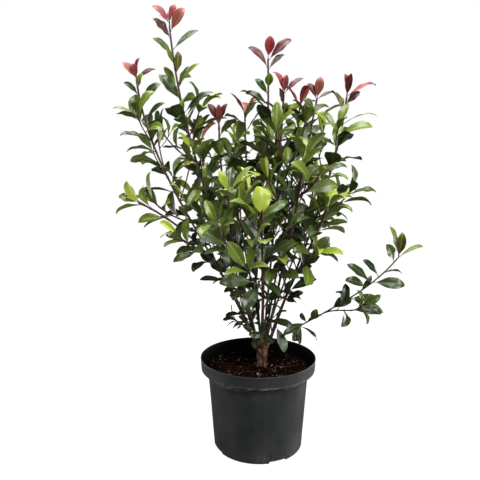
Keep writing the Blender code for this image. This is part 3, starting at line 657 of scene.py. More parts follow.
# Compost: the solid's heights, roughened, with a lap up the wall, and its flakes
SOIL_EDGE = 0.1875
SOIL_MOUND = 0.0014
SOIL_MOUND_SHARE = 0.60
SOIL_ROLL = 0.0008
SOIL_ROLL_SHARE = 0.95
SOIL_SEAT_RADIUS = 0.022
SOIL_CLEARANCE = 0.0006
SOIL_RINGS = 34
SOIL_SPOKES = 110
SOIL_HEART = 0.004
SOIL_ROUGH = 0.0026
SOIL_SINK = 0.4
SOIL_LUMPS = 70.0
SOIL_CRUMBS = 190.0
SOIL_CRUMB_SHARE = 0.5
SOIL_LAP = 0.0038
SOIL_LAP_RISE = 0.0042
SOIL_SHARP = math.radians(70.0)
SOIL_FINISH = ((0.02, 0.012, 0.008), 0.95, 0.04)
SOIL_NOISE = (330.0, 6.0, 0.65)
SOIL_BUMP = (0.0015, 1.0)
SOIL_COLOURS = (
    (0.35, (0.0012, 0.0007, 0.0006)),
    (0.54, (0.0060, 0.0026, 0.0017)),
    (0.70, (0.0280, 0.0090, 0.0050)),
)
CHIPS = 3600
CHIP_SEED = 12
CHIP_EDGE = 0.004
CHIP_LENGTH = 0.0022
CHIP_LENGTH_GAIN = 0.0045
CHIP_LENGTH_POWER = 1.6
LONG_CHIPS = 0.05
LONG_CHIP = 1.8
CHIP_WIDTHS = (0.35, 0.75)
CHIP_HEIGHTS = (0.15, 0.4)
CHIP_LIFTS = (0.1, 0.6)
CHIP_TILT = 0.30
CHIP_CORNERS = (0.45, 1.1)
CHIP_SIGNS = [(a, b, c) for c in (-1, 1) for a, b in ((-1, -1), (1, -1), (1, 1), (-1, 1))]
CHIP_FACES = [(3, 2, 1, 0), (4, 5, 6, 7), (0, 1, 5, 4), (1, 2, 6, 5), (2, 3, 7, 6), (3, 0, 4, 7)]
CHIP_COLOURS = {  # colour, and share of all flakes
    "chip_black": ((0.0018, 0.0012, 0.0010), 0.30),
    "chip_brown": ((0.0090, 0.0038, 0.0024), 0.31),
    "chip_red": ((0.0380, 0.0105, 0.0055), 0.27),
    "chip_tan": ((0.0950, 0.0400, 0.0200), 0.09),
    "chip_pale": ((0.3000, 0.2300, 0.1650), 0.03),
}
CHIP_ROUGHNESS = 0.85
CHIP_SPECULAR = 0.06
CHIP_NOISE = (800.0, 4.0)
CHIP_BUMP = (0.0004, 0.8)
CHIP_SHARP = math.radians(30.0)
FIBRES = 70
FIBRE_EDGE = 0.020
FIBRE_LENGTHS = (0.008, 0.030)
FIBRE_LIFT = 0.0016
FIBRE_RADII = (0.00045, 0.0002)
FIBRE_RINGS = 7
FIBRE_SIDES = 5
FIBRE_TINTS = ("chip_tan", "chip_pale", "chip_red")

# Floor, room and lights
FLOOR_REACH = 12.0
FLOOR_CELLS = 8
FLOOR_COLOUR = (0.12, 0.118, 0.112)
FLOOR_ROUGHNESS = 0.9
FLOOR_WHITE = (1.0, 0.995, 0.985, 1.0)
FLOOR_GLOW = 1.0
FLOOR_FILL = 0.08
WORLD_COLOUR = (1.0, 1.0, 1.0, 1.0)
WORLD_WHITE = 1.0
WORLD_FILL = 0.05
Light = namedtuple("Light", "name place aim size watts")
LIGHTS = (
    Light("top", (-0.2, -0.2, 2.8), (0.0, 0.0, 0.5), (1.6, 1.6), 92.0),
    Light("key", (0.9, -1.9, 2.0), (0.0, 0.0, 0.5), (0.9, 0.9), 60.0),
    Light("left_edge", (-1.25, 0.35, 0.20), (0.0, 0.0, 0.12), (1.4, 0.36), 9.0),
    Light("right_edge", (1.25, 0.35, 0.20), (0.0, 0.0, 0.12), (1.4, 0.36), 17.0),
)


def mix(low, high, share):
    return low + (high - low) * share


# Growing rule, as in the solids


def outwardness(shoot):
    """How far a shoot leans out for each metre that it rises."""
    reach = Vector(shoot.tip) - TRUNK_TOP
    return reach.xy.length / reach.z


def bearing(shoot):
    reach = Vector(shoot.tip) - TRUNK_TOP
    return math.atan2(reach.y, reach.x)


def trunk_top():
    """The middle of the trunk's flat top, a gap above it."""
    return Vector((*TRUNK_FOOT.lerp(TRUNK_TOP, TRUNK_FLAT).xy, TRUNK_TOP.z + GAP))


def fork_places():
    """Give each shoot its foot on the trunk's flat top, upright shoots inside."""
    waiting = sorted(SHOOTS, key=outwardness)
    top = trunk_top()
    places = {}
    for ring_radius, count in zip(RING_RADII, RING_PLACES):
        ring = sorted(waiting[:count], key=bearing)
        waiting = waiting[count:]
        turns = [bearing(shoot) - math.tau * number / count for number, shoot in enumerate(ring)]
        turn = sum(turns) / len(turns)
        for number, shoot in enumerate(ring):
            angle = turn + math.tau * number / count
            spot = Vector((math.cos(angle), math.sin(angle), 0.0))
            places[shoot.name] = top + ring_radius * spot
    return places


def bezier(corners, share):
    """The point and the direction at a share of a cubic curve."""
    a, b, c, d = corners
    rest = 1.0 - share
    point = rest**3 * a + 3 * rest**2 * share * b + 3 * rest * share**2 * c + share**3 * d
    slope = rest**2 * (b - a) + 2 * rest * share * (c - b) + share**2 * (d - c)
    return point, slope.normalized()


def stem_corners(shoot, foot):
    """The cubic that a shoot follows from the trunk to its tip."""
    tip = Vector(shoot.tip)
    start = foot + FOOT_RISE * UP
    reach = (tip - start).length
    leave = Vector((*shoot.foot_slope, 1.0)).normalized()
    arrive = Vector((*shoot.tip_slope, 1.0)).normalized()
    return start, start + FOOT_PULL * reach * leave, tip - TIP_PULL * reach * arrive, tip


def share_at_height(corners, height):
    """Halve the stretch of curve that holds the height until it is found."""
    low, high = 0.0, 1.0
    for step in range(HALVINGS):
        middle = (low + high) / 2
        if bezier(corners, middle)[0].z < height:
            low = middle
        else:
            high = middle
    return (low + high) / 2


def stem_radius(shoot, share):
    foot = BOUGH_RADIUS + BOUGH_RADIUS_GAIN * shoot.tip[2]
    return mix(foot, TIP_RADIUS, share**TAPER)


def plan_stem(shoot, foot):
    """Lay out a shoot's bough and the stem of its mass, end to end."""
    corners = stem_corners(shoot, foot)
    split = share_at_height(corners, shoot.leaves_from)
    end, heading = bezier(corners, split)
    radius = stem_radius(shoot, split)
    bough = [foot]
    bough_radii = [stem_radius(shoot, 0.0) * FOOT_SWELL]
    for number in range(BOUGH_POINTS):
        share = split * number / BOUGH_POINTS
        bough.append(bezier(corners, share)[0])
        bough_radii.append(stem_radius(shoot, share))
    bough += [end - CAP_RUN * heading, end]
    bough_radii += [radius, radius]
    start = end + GAP * heading
    stem = [start, start + CAP_RUN * heading]
    stem_radii = [radius, radius]
    for number in range(1, STEM_POINTS + 1):
        share = mix(split, 1.0, number / STEM_POINTS)
        stem.append(bezier(corners, share)[0])
        stem_radii.append(stem_radius(shoot, share))
    return (
        Limb(shoot, bough, bough_radii, BOUGH, 0.0, corners, split),
        Limb(shoot, stem, stem_radii, STEM, 0.0, corners, split),
    )


def limb_length(limb):
    return sum((b - a).length for a, b in zip(limb.points, limb.points[1:]))


def station(limb, distance):
    """The point, direction and radius at a distance along a limb."""
    for place, (a, b) in enumerate(zip(limb.points, limb.points[1:])):
        run = (b - a).length
        if distance <= run or place == len(limb.points) - 2:
            share = min(1.0, distance / run)
            radius = mix(limb.radii[place], limb.radii[place + 1], share)
            return a.lerp(b, share), (b - a).normalized(), radius
        distance -= run


def spoke(heading, turn):
    """A direction square to the heading, at a turn about it."""
    side = heading.cross(Vector((0.0, 1.0, 0.0))).normalized()
    other = heading.cross(side)
    return math.cos(turn) * side + math.sin(turn) * other


def curved_limb(shoot, start, leave, tip, arrive, radius, order, bare=0.0):
    reach = (tip - start).length
    corners = (
        start,
        start + CURVE_LEAVE * reach * leave,
        tip - CURVE_ARRIVE * reach * arrive,
        tip,
    )
    shares = [number / TWIG_POINTS for number in range(TWIG_POINTS + 1)]
    points = [bezier(corners, share)[0] for share in shares]
    radii = [mix(radius, min(radius, TIP_RADIUS), share) for share in shares]
    return Limb(shoot, points, radii, order, bare, corners, 0.0)


def plan_forks(shoot, stem):
    """The long forks of a shoot, each to a tip of its own."""
    length = limb_length(stem)
    forks = []
    for share, tip, bare in shoot.forks:
        root, heading, radius = station(stem, share * length)
        reach = (Vector(tip) - root).normalized()
        leave = (heading + reach).normalized()
        arrive = (reach + FORK_LIFT * UP).normalized()
        size = FORK_RADIUS * radius
        forks.append(curved_limb(shoot, root, leave, Vector(tip), arrive, size, FORK, bare))
    return forks


def plan_twigs(shoot, stem, rng):
    """Side twigs that leave the lower part of the stem in a spiral and turn up."""
    length = limb_length(stem)
    turn = rng.uniform(0.0, math.tau)
    distance = TWIG_START
    while distance < TWIG_SHARE * length:
        root, heading, radius = station(stem, distance)
        reach = TWIG_REACH * (1.0 - TWIG_FADE * distance / length)
        reach *= rng.uniform(*TWIG_REACH_VARIES)
        out = spoke(heading, turn)
        leave = (math.cos(TWIG_ANGLE) * heading + math.sin(TWIG_ANGLE) * out).normalized()
        arrive = (leave + TWIG_LIFT * UP).normalized()
        tip = root + reach * (leave + arrive) / 2
        yield curved_limb(shoot, root, leave, tip, arrive, TWIG_RADIUS * radius, TWIG)
        turn += SPIRAL + rng.uniform(-TWIG_WANDER, TWIG_WANDER)
        distance += TWIG_STEP * rng.uniform(*STEP_VARIES)


def plan_leaves(limb, rng):
    """Leaves in a spiral along a limb, and whether the solids have each one too."""
    length = limb_length(limb)
    step = LEAF_STEP_TWIG if limb.order == TWIG else LEAF_STEP
    turn = rng.uniform(0.0, math.tau)
    distance = LEAF_START + limb.bare * length
    number = 0
    while distance < length - CROWN_RUN:
        young = YOUNG_SIDE * max(0.0, 1.0 - (length - distance) / YOUNG_RUN)
        yield make_leaf(limb, distance, turn, young, rng), number % LEAF_EVERY == 0
        number += 1
        turn += SPIRAL + rng.uniform(-LEAF_WANDER, LEAF_WANDER)
        distance += step * rng.uniform(*STEP_VARIES)
    for left in reversed(range(CROWN_LEAVES)):
        young = mix(1.0, CROWN_YOUNG, left / (CROWN_LEAVES - 1))
        yield make_leaf(limb, length - CROWN_INSET - left * CROWN_STEP, turn, young, rng), True
        turn += SPIRAL


def make_leaf(limb, distance, turn, young, rng):
    """One leaf: old ones stand out wide, young ones are small and upright."""
    root, heading, radius = station(limb, distance)
    out = spoke(heading, turn)
    pitch = mix(LEAF_PITCH, LEAF_PITCH_YOUNG, young) * rng.uniform(*LEAF_PITCH_VARIES)
    along = math.cos(pitch) * heading + math.sin(pitch) * out
    normal = math.sin(pitch) * heading - math.cos(pitch) * out
    normal = normal + LEAF_SKY * UP + rng.uniform(-LEAF_ROLL, LEAF_ROLL) * heading.cross(out)
    normal = (normal - normal.dot(along) * along).normalized()
    size = limb.shoot.leaf_size * rng.uniform(*LEAF_LENGTH_VARIES)
    length = mix(LEAF_LENGTH, LEAF_LENGTH_YOUNG, young) * size
    ratio = mix(LEAF_WIDTH, LEAF_WIDTH_YOUNG, young) * rng.uniform(*LEAF_WIDTH_VARIES)
    bend = LEAF_BEND * rng.uniform(*LEAF_BEND_VARIES)
    return Leaf(limb, distance, root, along, normal, length, length * ratio, bend, young)


def leaf_point(leaf, share, spread, lift):
    """A point of a leaf whose midrib bends back as an arc of a circle."""
    turn = leaf.bend * share
    run = leaf.length * math.sin(turn) / leaf.bend
    drop = leaf.length * (1.0 - math.cos(turn)) / leaf.bend
    normal = math.cos(turn) * leaf.normal + math.sin(turn) * leaf.along
    side = leaf.normal.cross(leaf.along)
    half = leaf.width * spread / 2
    rise = lift + LEAF_FOLD * abs(half)
    return leaf.root + run * leaf.along - drop * leaf.normal + half * side + rise * normal


def leaf_body(leaf, thickness, root_share):
    """The plain leaf of the solids, which finds out whether a leaf has room."""
    body = bmesh.new()
    around, high = LEAF_SEGMENTS
    bmesh.ops.create_uvsphere(body, u_segments=around, v_segments=high, radius=1.0)
    last = len(LEAF_STATIONS) - 1
    for vertex in body.verts:
        if abs(vertex.co.z) > abs(vertex.co.x):
            share = mix(root_share, 1.0, LEAF_RIDGE)
            vertex.co = leaf_point(leaf, share, 0.0, math.copysign(thickness / 2, vertex.co.z))
            continue
        place = round(last * (1.0 + vertex.co.x) / 2)
        share = mix(root_share, 1.0, LEAF_STATIONS[place])
        side = math.copysign(LEAF_SPREADS[place], vertex.co.y)
        vertex.co = leaf_point(leaf, share, side, 0.0)
        if place == 0 and root_share == 0.0:
            vertex.co = leaf.root - LEAF_SINK * leaf.along
    return body


class Room:
    """What already stands in the crown, so that nothing new runs into it."""

    def __init__(self):
        self.items = []

    def add(self, whole, blade, points, piece, shoot):
        self.items.append((*ball_round(points), whole, blade, piece, shoot))

    def touches(self, whole, blade, points, host, shoot):
        """Test all of a piece against other shoots, and its blade against its own."""
        middle, reach = ball_round(points)
        for other, other_reach, other_whole, other_blade, piece, other_shoot in self.items:
            if (other - middle).length > reach + other_reach or piece is host:
                continue
            if shoot is not other_shoot and whole.overlap(other_whole):
                return True
            if shoot is other_shoot and blade.overlap(other_blade):
                return True
        return False


def ball_round(points):
    middle = sum(points, Vector()) / len(points)
    return middle, max((point - middle).length for point in points)


def add_object(name, data):
    made = bpy.data.objects.new(name, data)
    bpy.context.scene.collection.objects.link(made)
    return made


def worked_mesh(made):
    """The mesh of an object with its modifiers or its bevel worked out."""
    depsgraph = bpy.context.evaluated_depsgraph_get()
    return bpy.data.meshes.new_from_object(made.evaluated_get(depsgraph))


def limb_tree(limb, foot=0.0):
    """A search tree of a limb's tube, a little thicker than the limb."""
    points = list(limb.points)
    points[0] = station(limb, foot)[0]
    curve = bpy.data.curves.new("probe", "CURVE")
    curve.dimensions = "3D"
    curve.use_fill_caps = True
    curve.bevel_depth = 1.0
    curve.bevel_resolution = BOUGH_SIDES // 2 - 2
    spline = curve.splines.new("POLY")
    spline.points.add(len(points) - 1)
    for place, point, radius in zip(spline.points, points, limb.radii):
        place.co = (*point, 1.0)
        place.radius = radius * THREE_SIDED + CLEARANCE
    drawn = add_object("probe", curve)
    mesh = worked_mesh(drawn)
    bpy.data.objects.remove(drawn, do_unlink=True)
    bpy.data.curves.remove(curve)
    body = bmesh.new()
    body.from_mesh(mesh)
    bpy.data.meshes.remove(mesh)
    bmesh.ops.remove_doubles(body, verts=body.verts, dist=MERGE)
    tree = BVHTree.FromBMesh(body)
    body.free()
    return tree


def leaf_tree(leaf, root_share, thickness):
    """A search tree of a leaf from a share of its length on, and its corners."""
    body = leaf_body(leaf, thickness, root_share)
    tree = BVHTree.FromBMesh(body)
    points = [vertex.co.copy() for vertex in body.verts]
    body.free()
    return tree, points


def leaf_trees(leaf, thickness):
    """Search trees of a whole leaf and of its blade, and the whole leaf's corners."""
    whole, points = leaf_tree(leaf, 0.0, thickness)
    blade = leaf_tree(leaf, BLADE_FROM, thickness)[0]
    return whole, blade, points


def twig_fits(twig, room):
    """Give a twig its room if it has any."""
    trees = limb_tree(twig), limb_tree(twig, TWIG_ROOT)
    if room.touches(*trees, twig.points, twig, twig.shoot):
        return False
    room.add(*trees, twig.points, twig, twig.shoot)
    return True


def leaf_fits(leaf, room, space=None, drawn=True):
    """Give a leaf its room if it has any, in its drawn size or in the solids' size."""
    shape = drawn_size(leaf) if drawn else leaf
    whole, blade, points = leaf_trees(shape, DRAWN_THICKNESS if drawn else SOLID_THICKNESS)
    if min(point.z for point in points) < LOWEST_LEAF:
        return False
    if space and not in_own_space(leaf, space):
        return False
    if room.touches(whole, blade, points, leaf.limb, leaf.limb.shoot):
        return False
    room.add(whole, blade, points, leaf, leaf.limb.shoot)
    return True


def own_space(limbs):
    """A search tree of places along all limbs, with the shoot that each is on."""
    places = []
    for name, group in limbs.items():
        for limb in group:
            length = limb_length(limb)
            steps = int(length / SPACE_STEP) + 1
            places += [(station(limb, length * n / steps)[0], name) for n in range(steps + 1)]
    tree = kdtree.KDTree(len(places))
    for number, (point, name) in enumerate(places):
        tree.insert(point, number)
    tree.balance()
    return tree, places


def in_own_space(leaf, space):
    """Whether a leaf's tip stays nearer to its own shoot than to any other."""
    tree, places = space
    tip = leaf_point(leaf, SPACE_SHARE, 0.0, 0.0)
    name = leaf.limb.shoot.name
    nearest = tree.find(tip)[2]
    own = min((point - tip).length for point, owner in places if owner == name)
    return own < nearest + SPACE_SLACK


def grow_limbs(stems, boughs, room):
    """Stems, forks and side twigs, without the twigs that find no room."""
    forks = [fork for stem in stems for fork in plan_forks(stem.shoot, stem)]
    for limb in boughs + stems + forks:
        tree = limb_tree(limb)
        room.add(tree, tree, limb.points, limb, limb.shoot)
    limbs = {shoot.name: [] for shoot in SHOOTS}
    for limb in stems + forks:
        limbs[limb.shoot.name].append(limb)
    for stem in stems:
        rng = random.Random(stem.shoot.seed)
        for twig in plan_twigs(stem.shoot, stem, rng):
            if twig.points[-1].z >= LOWEST_TWIG and twig_fits(twig, room):
                limbs[stem.shoot.name].append(twig)
    return limbs


def grow_leaves(limbs, room):
    """The leaves of the solids, and the ones between them that the solids leave out."""
    space = own_space(limbs)
    leaves = {name: [] for name in limbs}
    finer = []
    for name in limbs:
        rng = random.Random(limbs[name][0].shoot.seed + LEAF_SEED)
        for limb in limbs[name]:
            for leaf, in_solids in plan_leaves(limb, rng):
                if not in_solids:
                    finer.append(leaf)
                elif leaf_fits(leaf, room, space, drawn=False):
                    leaves[name].append(leaf)
    return leaves, finer


# Growing on: drawn sizes, leaves set one by one, and finer twigs


def flush_of(limb):
    """The kind of young growth at the tip of a limb; twigs low in the crown take dark tints, as
    painted shade.
    """
    if limb.order in (FORK, TWIG):
        return "twig" if limb.points[-1].z > LOW_CROWN else "low"
    return limb.shoot.flush


def low_size(leaf):
    """How much smaller a leaf is low on an upright shoot."""
    if outwardness(leaf.limb.shoot) > SPREADING:
        return 1.0
    share = (leaf.root.z - LOW_FROM) / (LOW_TO - LOW_FROM)
    return mix(LOW_SIZE, 1.0, min(1.0, max(0.0, share)))


def drawn_size(leaf):
    """A leaf as it is drawn: slimmer, and small at a tip or low on an upright shoot."""
    tip = max(0.0, (leaf.young - TIP_YOUTH) / (1.0 - TIP_YOUTH))
    tip_length, tip_width = TIP_SHAPES[flush_of(leaf.limb)]
    size = mix(1.0, tip_length, tip) * low_size(leaf)
    width = leaf.width * REAL_WIDTH * size * mix(1.0, tip_width, tip)
    return leaf._replace(length=leaf.length * REAL_LENGTH * size, width=width)


def left_bare(leaf):
    """Whether a leaf is where the rule gives way to the leaves that are set one by one."""
    near, far = BARE_STRETCH
    limb = leaf.limb
    if limb.shoot.name == BASE_SHOOT and limb.order == STEM and near < leaf.distance < far:
        return True
    return limb.order == STEM and leaf.root.z > CLEARED.get(limb.shoot.name, math.inf)


def on_bare_twig(limb):
    """Whether a twig starts on the bare stretch of the low branch."""
    reach = (limb.points[0] - TRUNK_TOP).length
    return limb.shoot.name == BASE_SHOOT and limb.order == TWIG and reach < BARE_REACH


def take_off(limbs, leaves, finer):
    """Take off bare twigs and the leaves that others replace. Return the finer leaves left."""
    bare = [limb for limb in limbs[BASE_SHOOT] if on_bare_twig(limb)]
    for name in limbs:
        limbs[name] = [limb for limb in limbs[name] if limb not in bare]
        leaves[name] = [leaf for leaf in leaves[name] if not left_bare(leaf)]
        leaves[name] = [leaf for leaf in leaves[name] if leaf.limb not in bare]
    return [leaf for leaf in finer if not left_bare(leaf) and leaf.limb not in bare]


def extend_tips(stems):
    """Let the tallest shoot's tip go on a little, as a short straight limb."""
    for stem in stems:
        if stem.shoot.name in EXTENSIONS:
            tip = Vector(EXTENSIONS[stem.shoot.name])
            root, heading, radius = station(stem, limb_length(stem))
            arrive = (tip - root).normalized()
            size = radius * STEM_GIRTHS[1]
            yield curved_limb(stem.shoot, root, heading, tip, arrive, size, FORK)


def span_leaf(limb, root, tip, face, width, bend):
    """A leaf that bends evenly from its root to its tip, with its top to a side."""
    chord = tip - root
    way = chord.normalized()
    face = (face - face.dot(way) * way).normalized()
    half = bend / 2
    along = math.cos(half) * way + math.sin(half) * face
    normal = math.cos(half) * face - math.sin(half) * way
    length = chord.length * half / math.sin(half)
    return Leaf(limb, 0.0, root, along, normal, length, width, bend, PLACED_YOUTH)


def place_leaves(grown):
    """The leaves that are set one by one, each from its shoot to its tip."""
    placed = {shoot.name: [] for shoot in SHOOTS}
    for name, entries in PLACED.items():
        own = [limb for limb in grown if limb.shoot.name == name]
        for height, tip, face, width, bend, tint in entries:
            limb = next((limb for limb in own if limb.points[-1].z >= height), own[-1])
            root = bezier(limb.corners, share_at_height(limb.corners, height))[0]
            leaf = span_leaf(limb, root, Vector(tip), Vector(face), width, math.radians(bend))
            placed[name].append((leaf, tint))
    return placed


def drawn_room(boughs, limbs, leaves, placed):
    """The crown so far with its leaves as they are drawn: slimmer than the solid ones."""
    room = Room()
    for limb in boughs + [limb for group in limbs.values() for limb in group]:
        root = TWIG_ROOT if limb.order == TWIG else 0.0
        room.add(limb_tree(limb), limb_tree(limb, root), limb.points, limb, limb.shoot)
    for group in leaves.values():
        for leaf in group:
            room.add(*leaf_trees(drawn_size(leaf), DRAWN_THICKNESS), leaf, leaf.limb.shoot)
    for group in placed.values():
        for leaf, tint in group:
            room.add(*leaf_trees(leaf, DRAWN_THICKNESS), leaf, leaf.limb.shoot)
    return room


def plan_tip(limb, rng):
    """Small slim leaves round the bud at a limb's tip."""
    length = limb_length(limb)
    turn = rng.uniform(0.0, math.tau)
    for number in range(TIP_LEAVES):
        leaf = make_leaf(limb, length - CROWN_INSET, turn, 1.0, rng)
        size = rng.uniform(*TIP_LEAF_SIZES)
        yield leaf._replace(length=leaf.length * size, width=leaf.width * size * TIP_LEAF_WIDTH)
        turn += SPIRAL


def plan_finer(host, rule, rng):
    """Short twigs that leave a limb in a spiral, by the rule of the side twigs."""
    length = limb_length(host)
    turn = rng.uniform(0.0, math.tau)
    distance = rule.step * rng.uniform(*FINE_START)
    while distance < rule.share * length:
        root, heading, radius = station(host, distance)
        out = spoke(heading, turn)
        leave = (math.cos(TWIG_ANGLE) * heading + math.sin(TWIG_ANGLE) * out).normalized()
        arrive = (leave + TWIG_LIFT * UP).normalized()
        tip = root + rng.uniform(*rule.reach) * (leave + arrive) / 2
        if root.z > rule.lowest:
            size = max(FINE_RADIUS, FINE_SHARE * radius)
            yield curved_limb(host.shoot, root, leave, tip, arrive, size, TWIG)
        turn += SPIRAL + rng.uniform(-TWIG_WANDER, TWIG_WANDER)
        distance += rule.step * rng.uniform(*STEP_VARIES)


def plan_fine_leaves(twig, rule, rng):
    """The smaller leaves of a finer twig, turned down to hang where the rule says so."""
    for leaf, in_solids in plan_leaves(twig, rng):
        size = rule.leaf_size * rng.uniform(*FINE_LEAF_VARIES)
        along = (leaf.along - rule.droop * UP).normalized()
        yield leaf._replace(
            length=leaf.length * size,
            width=leaf.width * size,
            young=leaf.young * rule.young,
            along=along,
            normal=(leaf.normal - leaf.normal.dot(along) * along).normalized(),
        )


def grow_between(limbs, leaves, finer, room):
    """Most of the leaves that the solids leave out, and small ones round the tips' buds."""
    space = own_space(limbs)
    keep = random.Random(FULLNESS_SEED)
    for leaf in finer:
        name = leaf.limb.shoot.name
        if keep.random() < FULLNESS.get(name, FULL_SHARE) and leaf_fits(leaf, room, space):
            leaves[name].append(leaf)
    rng = random.Random(TIP_SEED)
    for name, group in limbs.items():
        for limb in group:
            if limb.order == TWIG or (limb.order == STEM and name in CLEARED):
                continue
            leaves[name] += [leaf for leaf in plan_tip(limb, rng) if leaf_fits(leaf, room)]


def grow_finer(boughs, limbs, leaves, room):
    """Low sprigs on the boughs and finer twigs on the masses' limbs, with their leaves."""
    grown = [limb for group in limbs.values() for limb in group if limb.order != TWIG]
    for rule, hosts in ((SPRIGS, boughs), (FINE_TWIGS, grown)):
        for number, host in enumerate(hosts):
            name = host.shoot.name
            rng = random.Random(rule.seed + number)
            for twig in plan_finer(host, rule, rng):
                if not twig_fits(twig, room):
                    continue
                limbs[name].append(twig)
                fine = plan_fine_leaves(twig, rule, rng)
                leaves[name] += [leaf for leaf in fine if leaf_fits(leaf, room)]


def grow_plant():
    """All boughs, then the limbs, the leaves and the leaves set one by one, by shoot."""
    places = fork_places()
    boughs, stems = map(list, zip(*(plan_stem(shoot, places[shoot.name]) for shoot in SHOOTS)))
    room = Room()
    limbs = grow_limbs(stems, boughs, room)
    leaves, finer = grow_leaves(limbs, room)
    finer = take_off(limbs, leaves, finer)
    tips = list(extend_tips(stems))
    placed = place_leaves(boughs + stems + tips)
    room = drawn_room(boughs, limbs, leaves, placed)
    grow_between(limbs, leaves, finer, room)
    grow_finer(boughs, limbs, leaves, room)
    for tip in tips:
        limbs[tip.shoot.name].append(tip)
    return boughs, limbs, leaves, placed


# Drawing: joined meshes of tubes and blades


class Batch:
    """Many small shapes with their finishes, which become one joined mesh."""

    def __init__(self):
        self.points = []
        self.places = []
        self.faces = []
        self.finishes = []
        self.count = 0

    def add(self, points, faces, finishes, places=None):
        """Take in points, faces, a finish for each face, and places along and across."""
        if places is None:
            places = np.full((len(points), 2), MIDDLE)
        self.points.append(points)
        self.places.append(places)
        self.faces += [tuple(corner + self.count for corner in face) for face in faces]
        self.finishes += finishes
        self.count += len(points)

    def add_tube(self, path, radii, sides, finish_name):
        """Take in a closed tube of one finish round a path."""
        faces = ring_faces(len(path), sides)
        self.add(tube_points(path, radii, sides), faces, [finish_name] * len(faces))

    def make(self, name, sharp_from):
        mesh = bpy.data.meshes.new(name)
        mesh.from_pydata(np.concatenate(self.points).tolist(), [], self.faces)
        used = sorted(set(self.finishes))
        for finish_name in used:
            mesh.materials.append(FINISHES[finish_name])
        number = {finish_name: place for place, finish_name in enumerate(used)}
        indices = [number[finish_name] for finish_name in self.finishes]
        mesh.polygons.foreach_set("material_index", indices)
        corners = np.zeros(len(mesh.loops), dtype=np.int32)
        mesh.loops.foreach_get("vertex_index", corners)
        layer = mesh.uv_layers.new(name=PLACES)
        layer.data.foreach_set("uv", np.concatenate(self.places)[corners].ravel())
        mesh.shade_smooth()
        mesh.set_sharp_from_angle(angle=sharp_from)
        made = add_object(name, mesh)
        dress(made)
        return made


def dress(made):
    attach(made, BODY)


def ring_faces(rings, sides):
    """Quads between rings of points, and a flat cap on each end."""
    faces = []
    for ring in range(rings - 1):
        for side in range(sides):
            after = (side + 1) % sides
            low, high = ring * sides, (ring + 1) * sides
            faces.append((low + side, low + after, high + after, high + side))
    faces.append(tuple(reversed(range(sides))))
    faces.append(tuple((rings - 1) * sides + side for side in range(sides)))
    return faces


def frames_along(points):
    """Two directions square to a path at each of its points, without any spin."""
    steps = np.diff(points, axis=0)
    headings = np.vstack((steps[:1], steps[1:] + steps[:-1], steps[-1:]))
    headings /= np.linalg.norm(headings, axis=1)[:, None]
    side = np.cross(headings[0], FRAME_START)
    sides = []
    for heading in headings:
        side = side - heading * side.dot(heading)
        side = side / np.linalg.norm(side)
        sides.append(side)
    sides = np.array(sides)
    return sides, np.cross(headings, sides)


def tube_points(points, radii, sides):
    """Rings of points round a path. A radius may be one value or one for each side."""
    points = np.asarray(points, dtype=float)
    radii = np.asarray(radii, dtype=float)
    if radii.ndim == 1:
        radii = np.repeat(radii[:, None], sides, axis=1)
    across, other = frames_along(points)
    turns = np.arange(sides) * math.tau / sides
    ring = np.cos(turns)[None, :, None] * across[:, None, :]
    ring = ring + np.sin(turns)[None, :, None] * other[:, None, :]
    return (points[:, None, :] + radii[:, :, None] * ring).reshape(-1, 3)


def reach_along(points):
    """How far along a path each of its points is."""
    return np.concatenate(([0.0], np.cumsum(np.linalg.norm(np.diff(points, axis=0), axis=1))))


# Leaves


def fine_share(limb, distance):
    """The share of a limb's curve at a distance along its straight stretches."""
    first = 0 if limb.order >= FORK else 1
    for place, (a, b) in enumerate(zip(limb.points, limb.points[1:])):
        run = (b - a).length
        if distance <= run or place == len(limb.points) - 2:
            break
        distance -= run
    steps = len(limb.points) - 1 - first
    inside = max(0.0, place - first + min(1.0, distance / run)) / steps
    return mix(limb.start, 1.0, min(1.0, inside))


def blade_template():
    """Faces and finish names of one blade, as a tube of flat rings."""
    sides = 2 * len(COLUMNS) - 2
    faces = ring_faces(BLADE_ROWS, sides)
    cells = len(COLUMNS) - 1
    parts = []
    for row in range(BLADE_ROWS - 1):
        for side in range(sides):
            over = side < cells
            middle = side % cells == cells // 2
            parts.append(("rib" if over else "keel") if middle else ("top" if over else "under"))
    return [tuple(reversed(face)) for face in faces], parts + ["stalk", "under"]


BLADE_FACES, BLADE_PARTS = blade_template()


def tint_part(tint, part):
    """The finish of one part of a leaf of this tint."""
    if part in ("top", "under"):
        return tint + "_" + part
    return TINTS[tint].rib if part != "stalk" else TINTS[tint].stalk


def blade_outline(share):
    """Half the blade's width at a share of its length, where its widest is 1."""
    widest = BLADE_FOOT / (BLADE_FOOT + BLADE_TIP)
    low = np.clip(share / widest, 0.0, None)
    high = np.clip((1.0 - share) / (1.0 - widest), 0.0, None)
    return low**BLADE_FOOT * high**BLADE_TIP


def curled(leaf, hook):
    """Shares of a leaf's length with its midrib's turn, run and drop at each."""
    shares = np.linspace(0.0, 1.0, RIB_STEPS)
    hooked = np.clip((shares - HOOK_FROM) / (1.0 - HOOK_FROM), 0.0, None)
    turns = leaf.bend * shares + hook * hooked**2
    step = leaf.length * (shares[1] - shares[0])
    middle = (turns[1:] + turns[:-1]) / 2
    run = np.concatenate(([0.0], np.cumsum(np.cos(middle)) * step))
    drop = np.concatenate(([0.0], np.cumsum(np.sin(middle)) * step))
    return shares, turns, run, drop


def on_midrib(leaf, curve, at):
    """Points of a leaf's midrib at shares of its length."""
    shares, turns, run, drop = curve
    points = np.array(leaf.root) + np.interp(at, shares, run)[:, None] * np.array(leaf.along)
    return points - np.interp(at, shares, drop)[:, None] * np.array(leaf.normal)


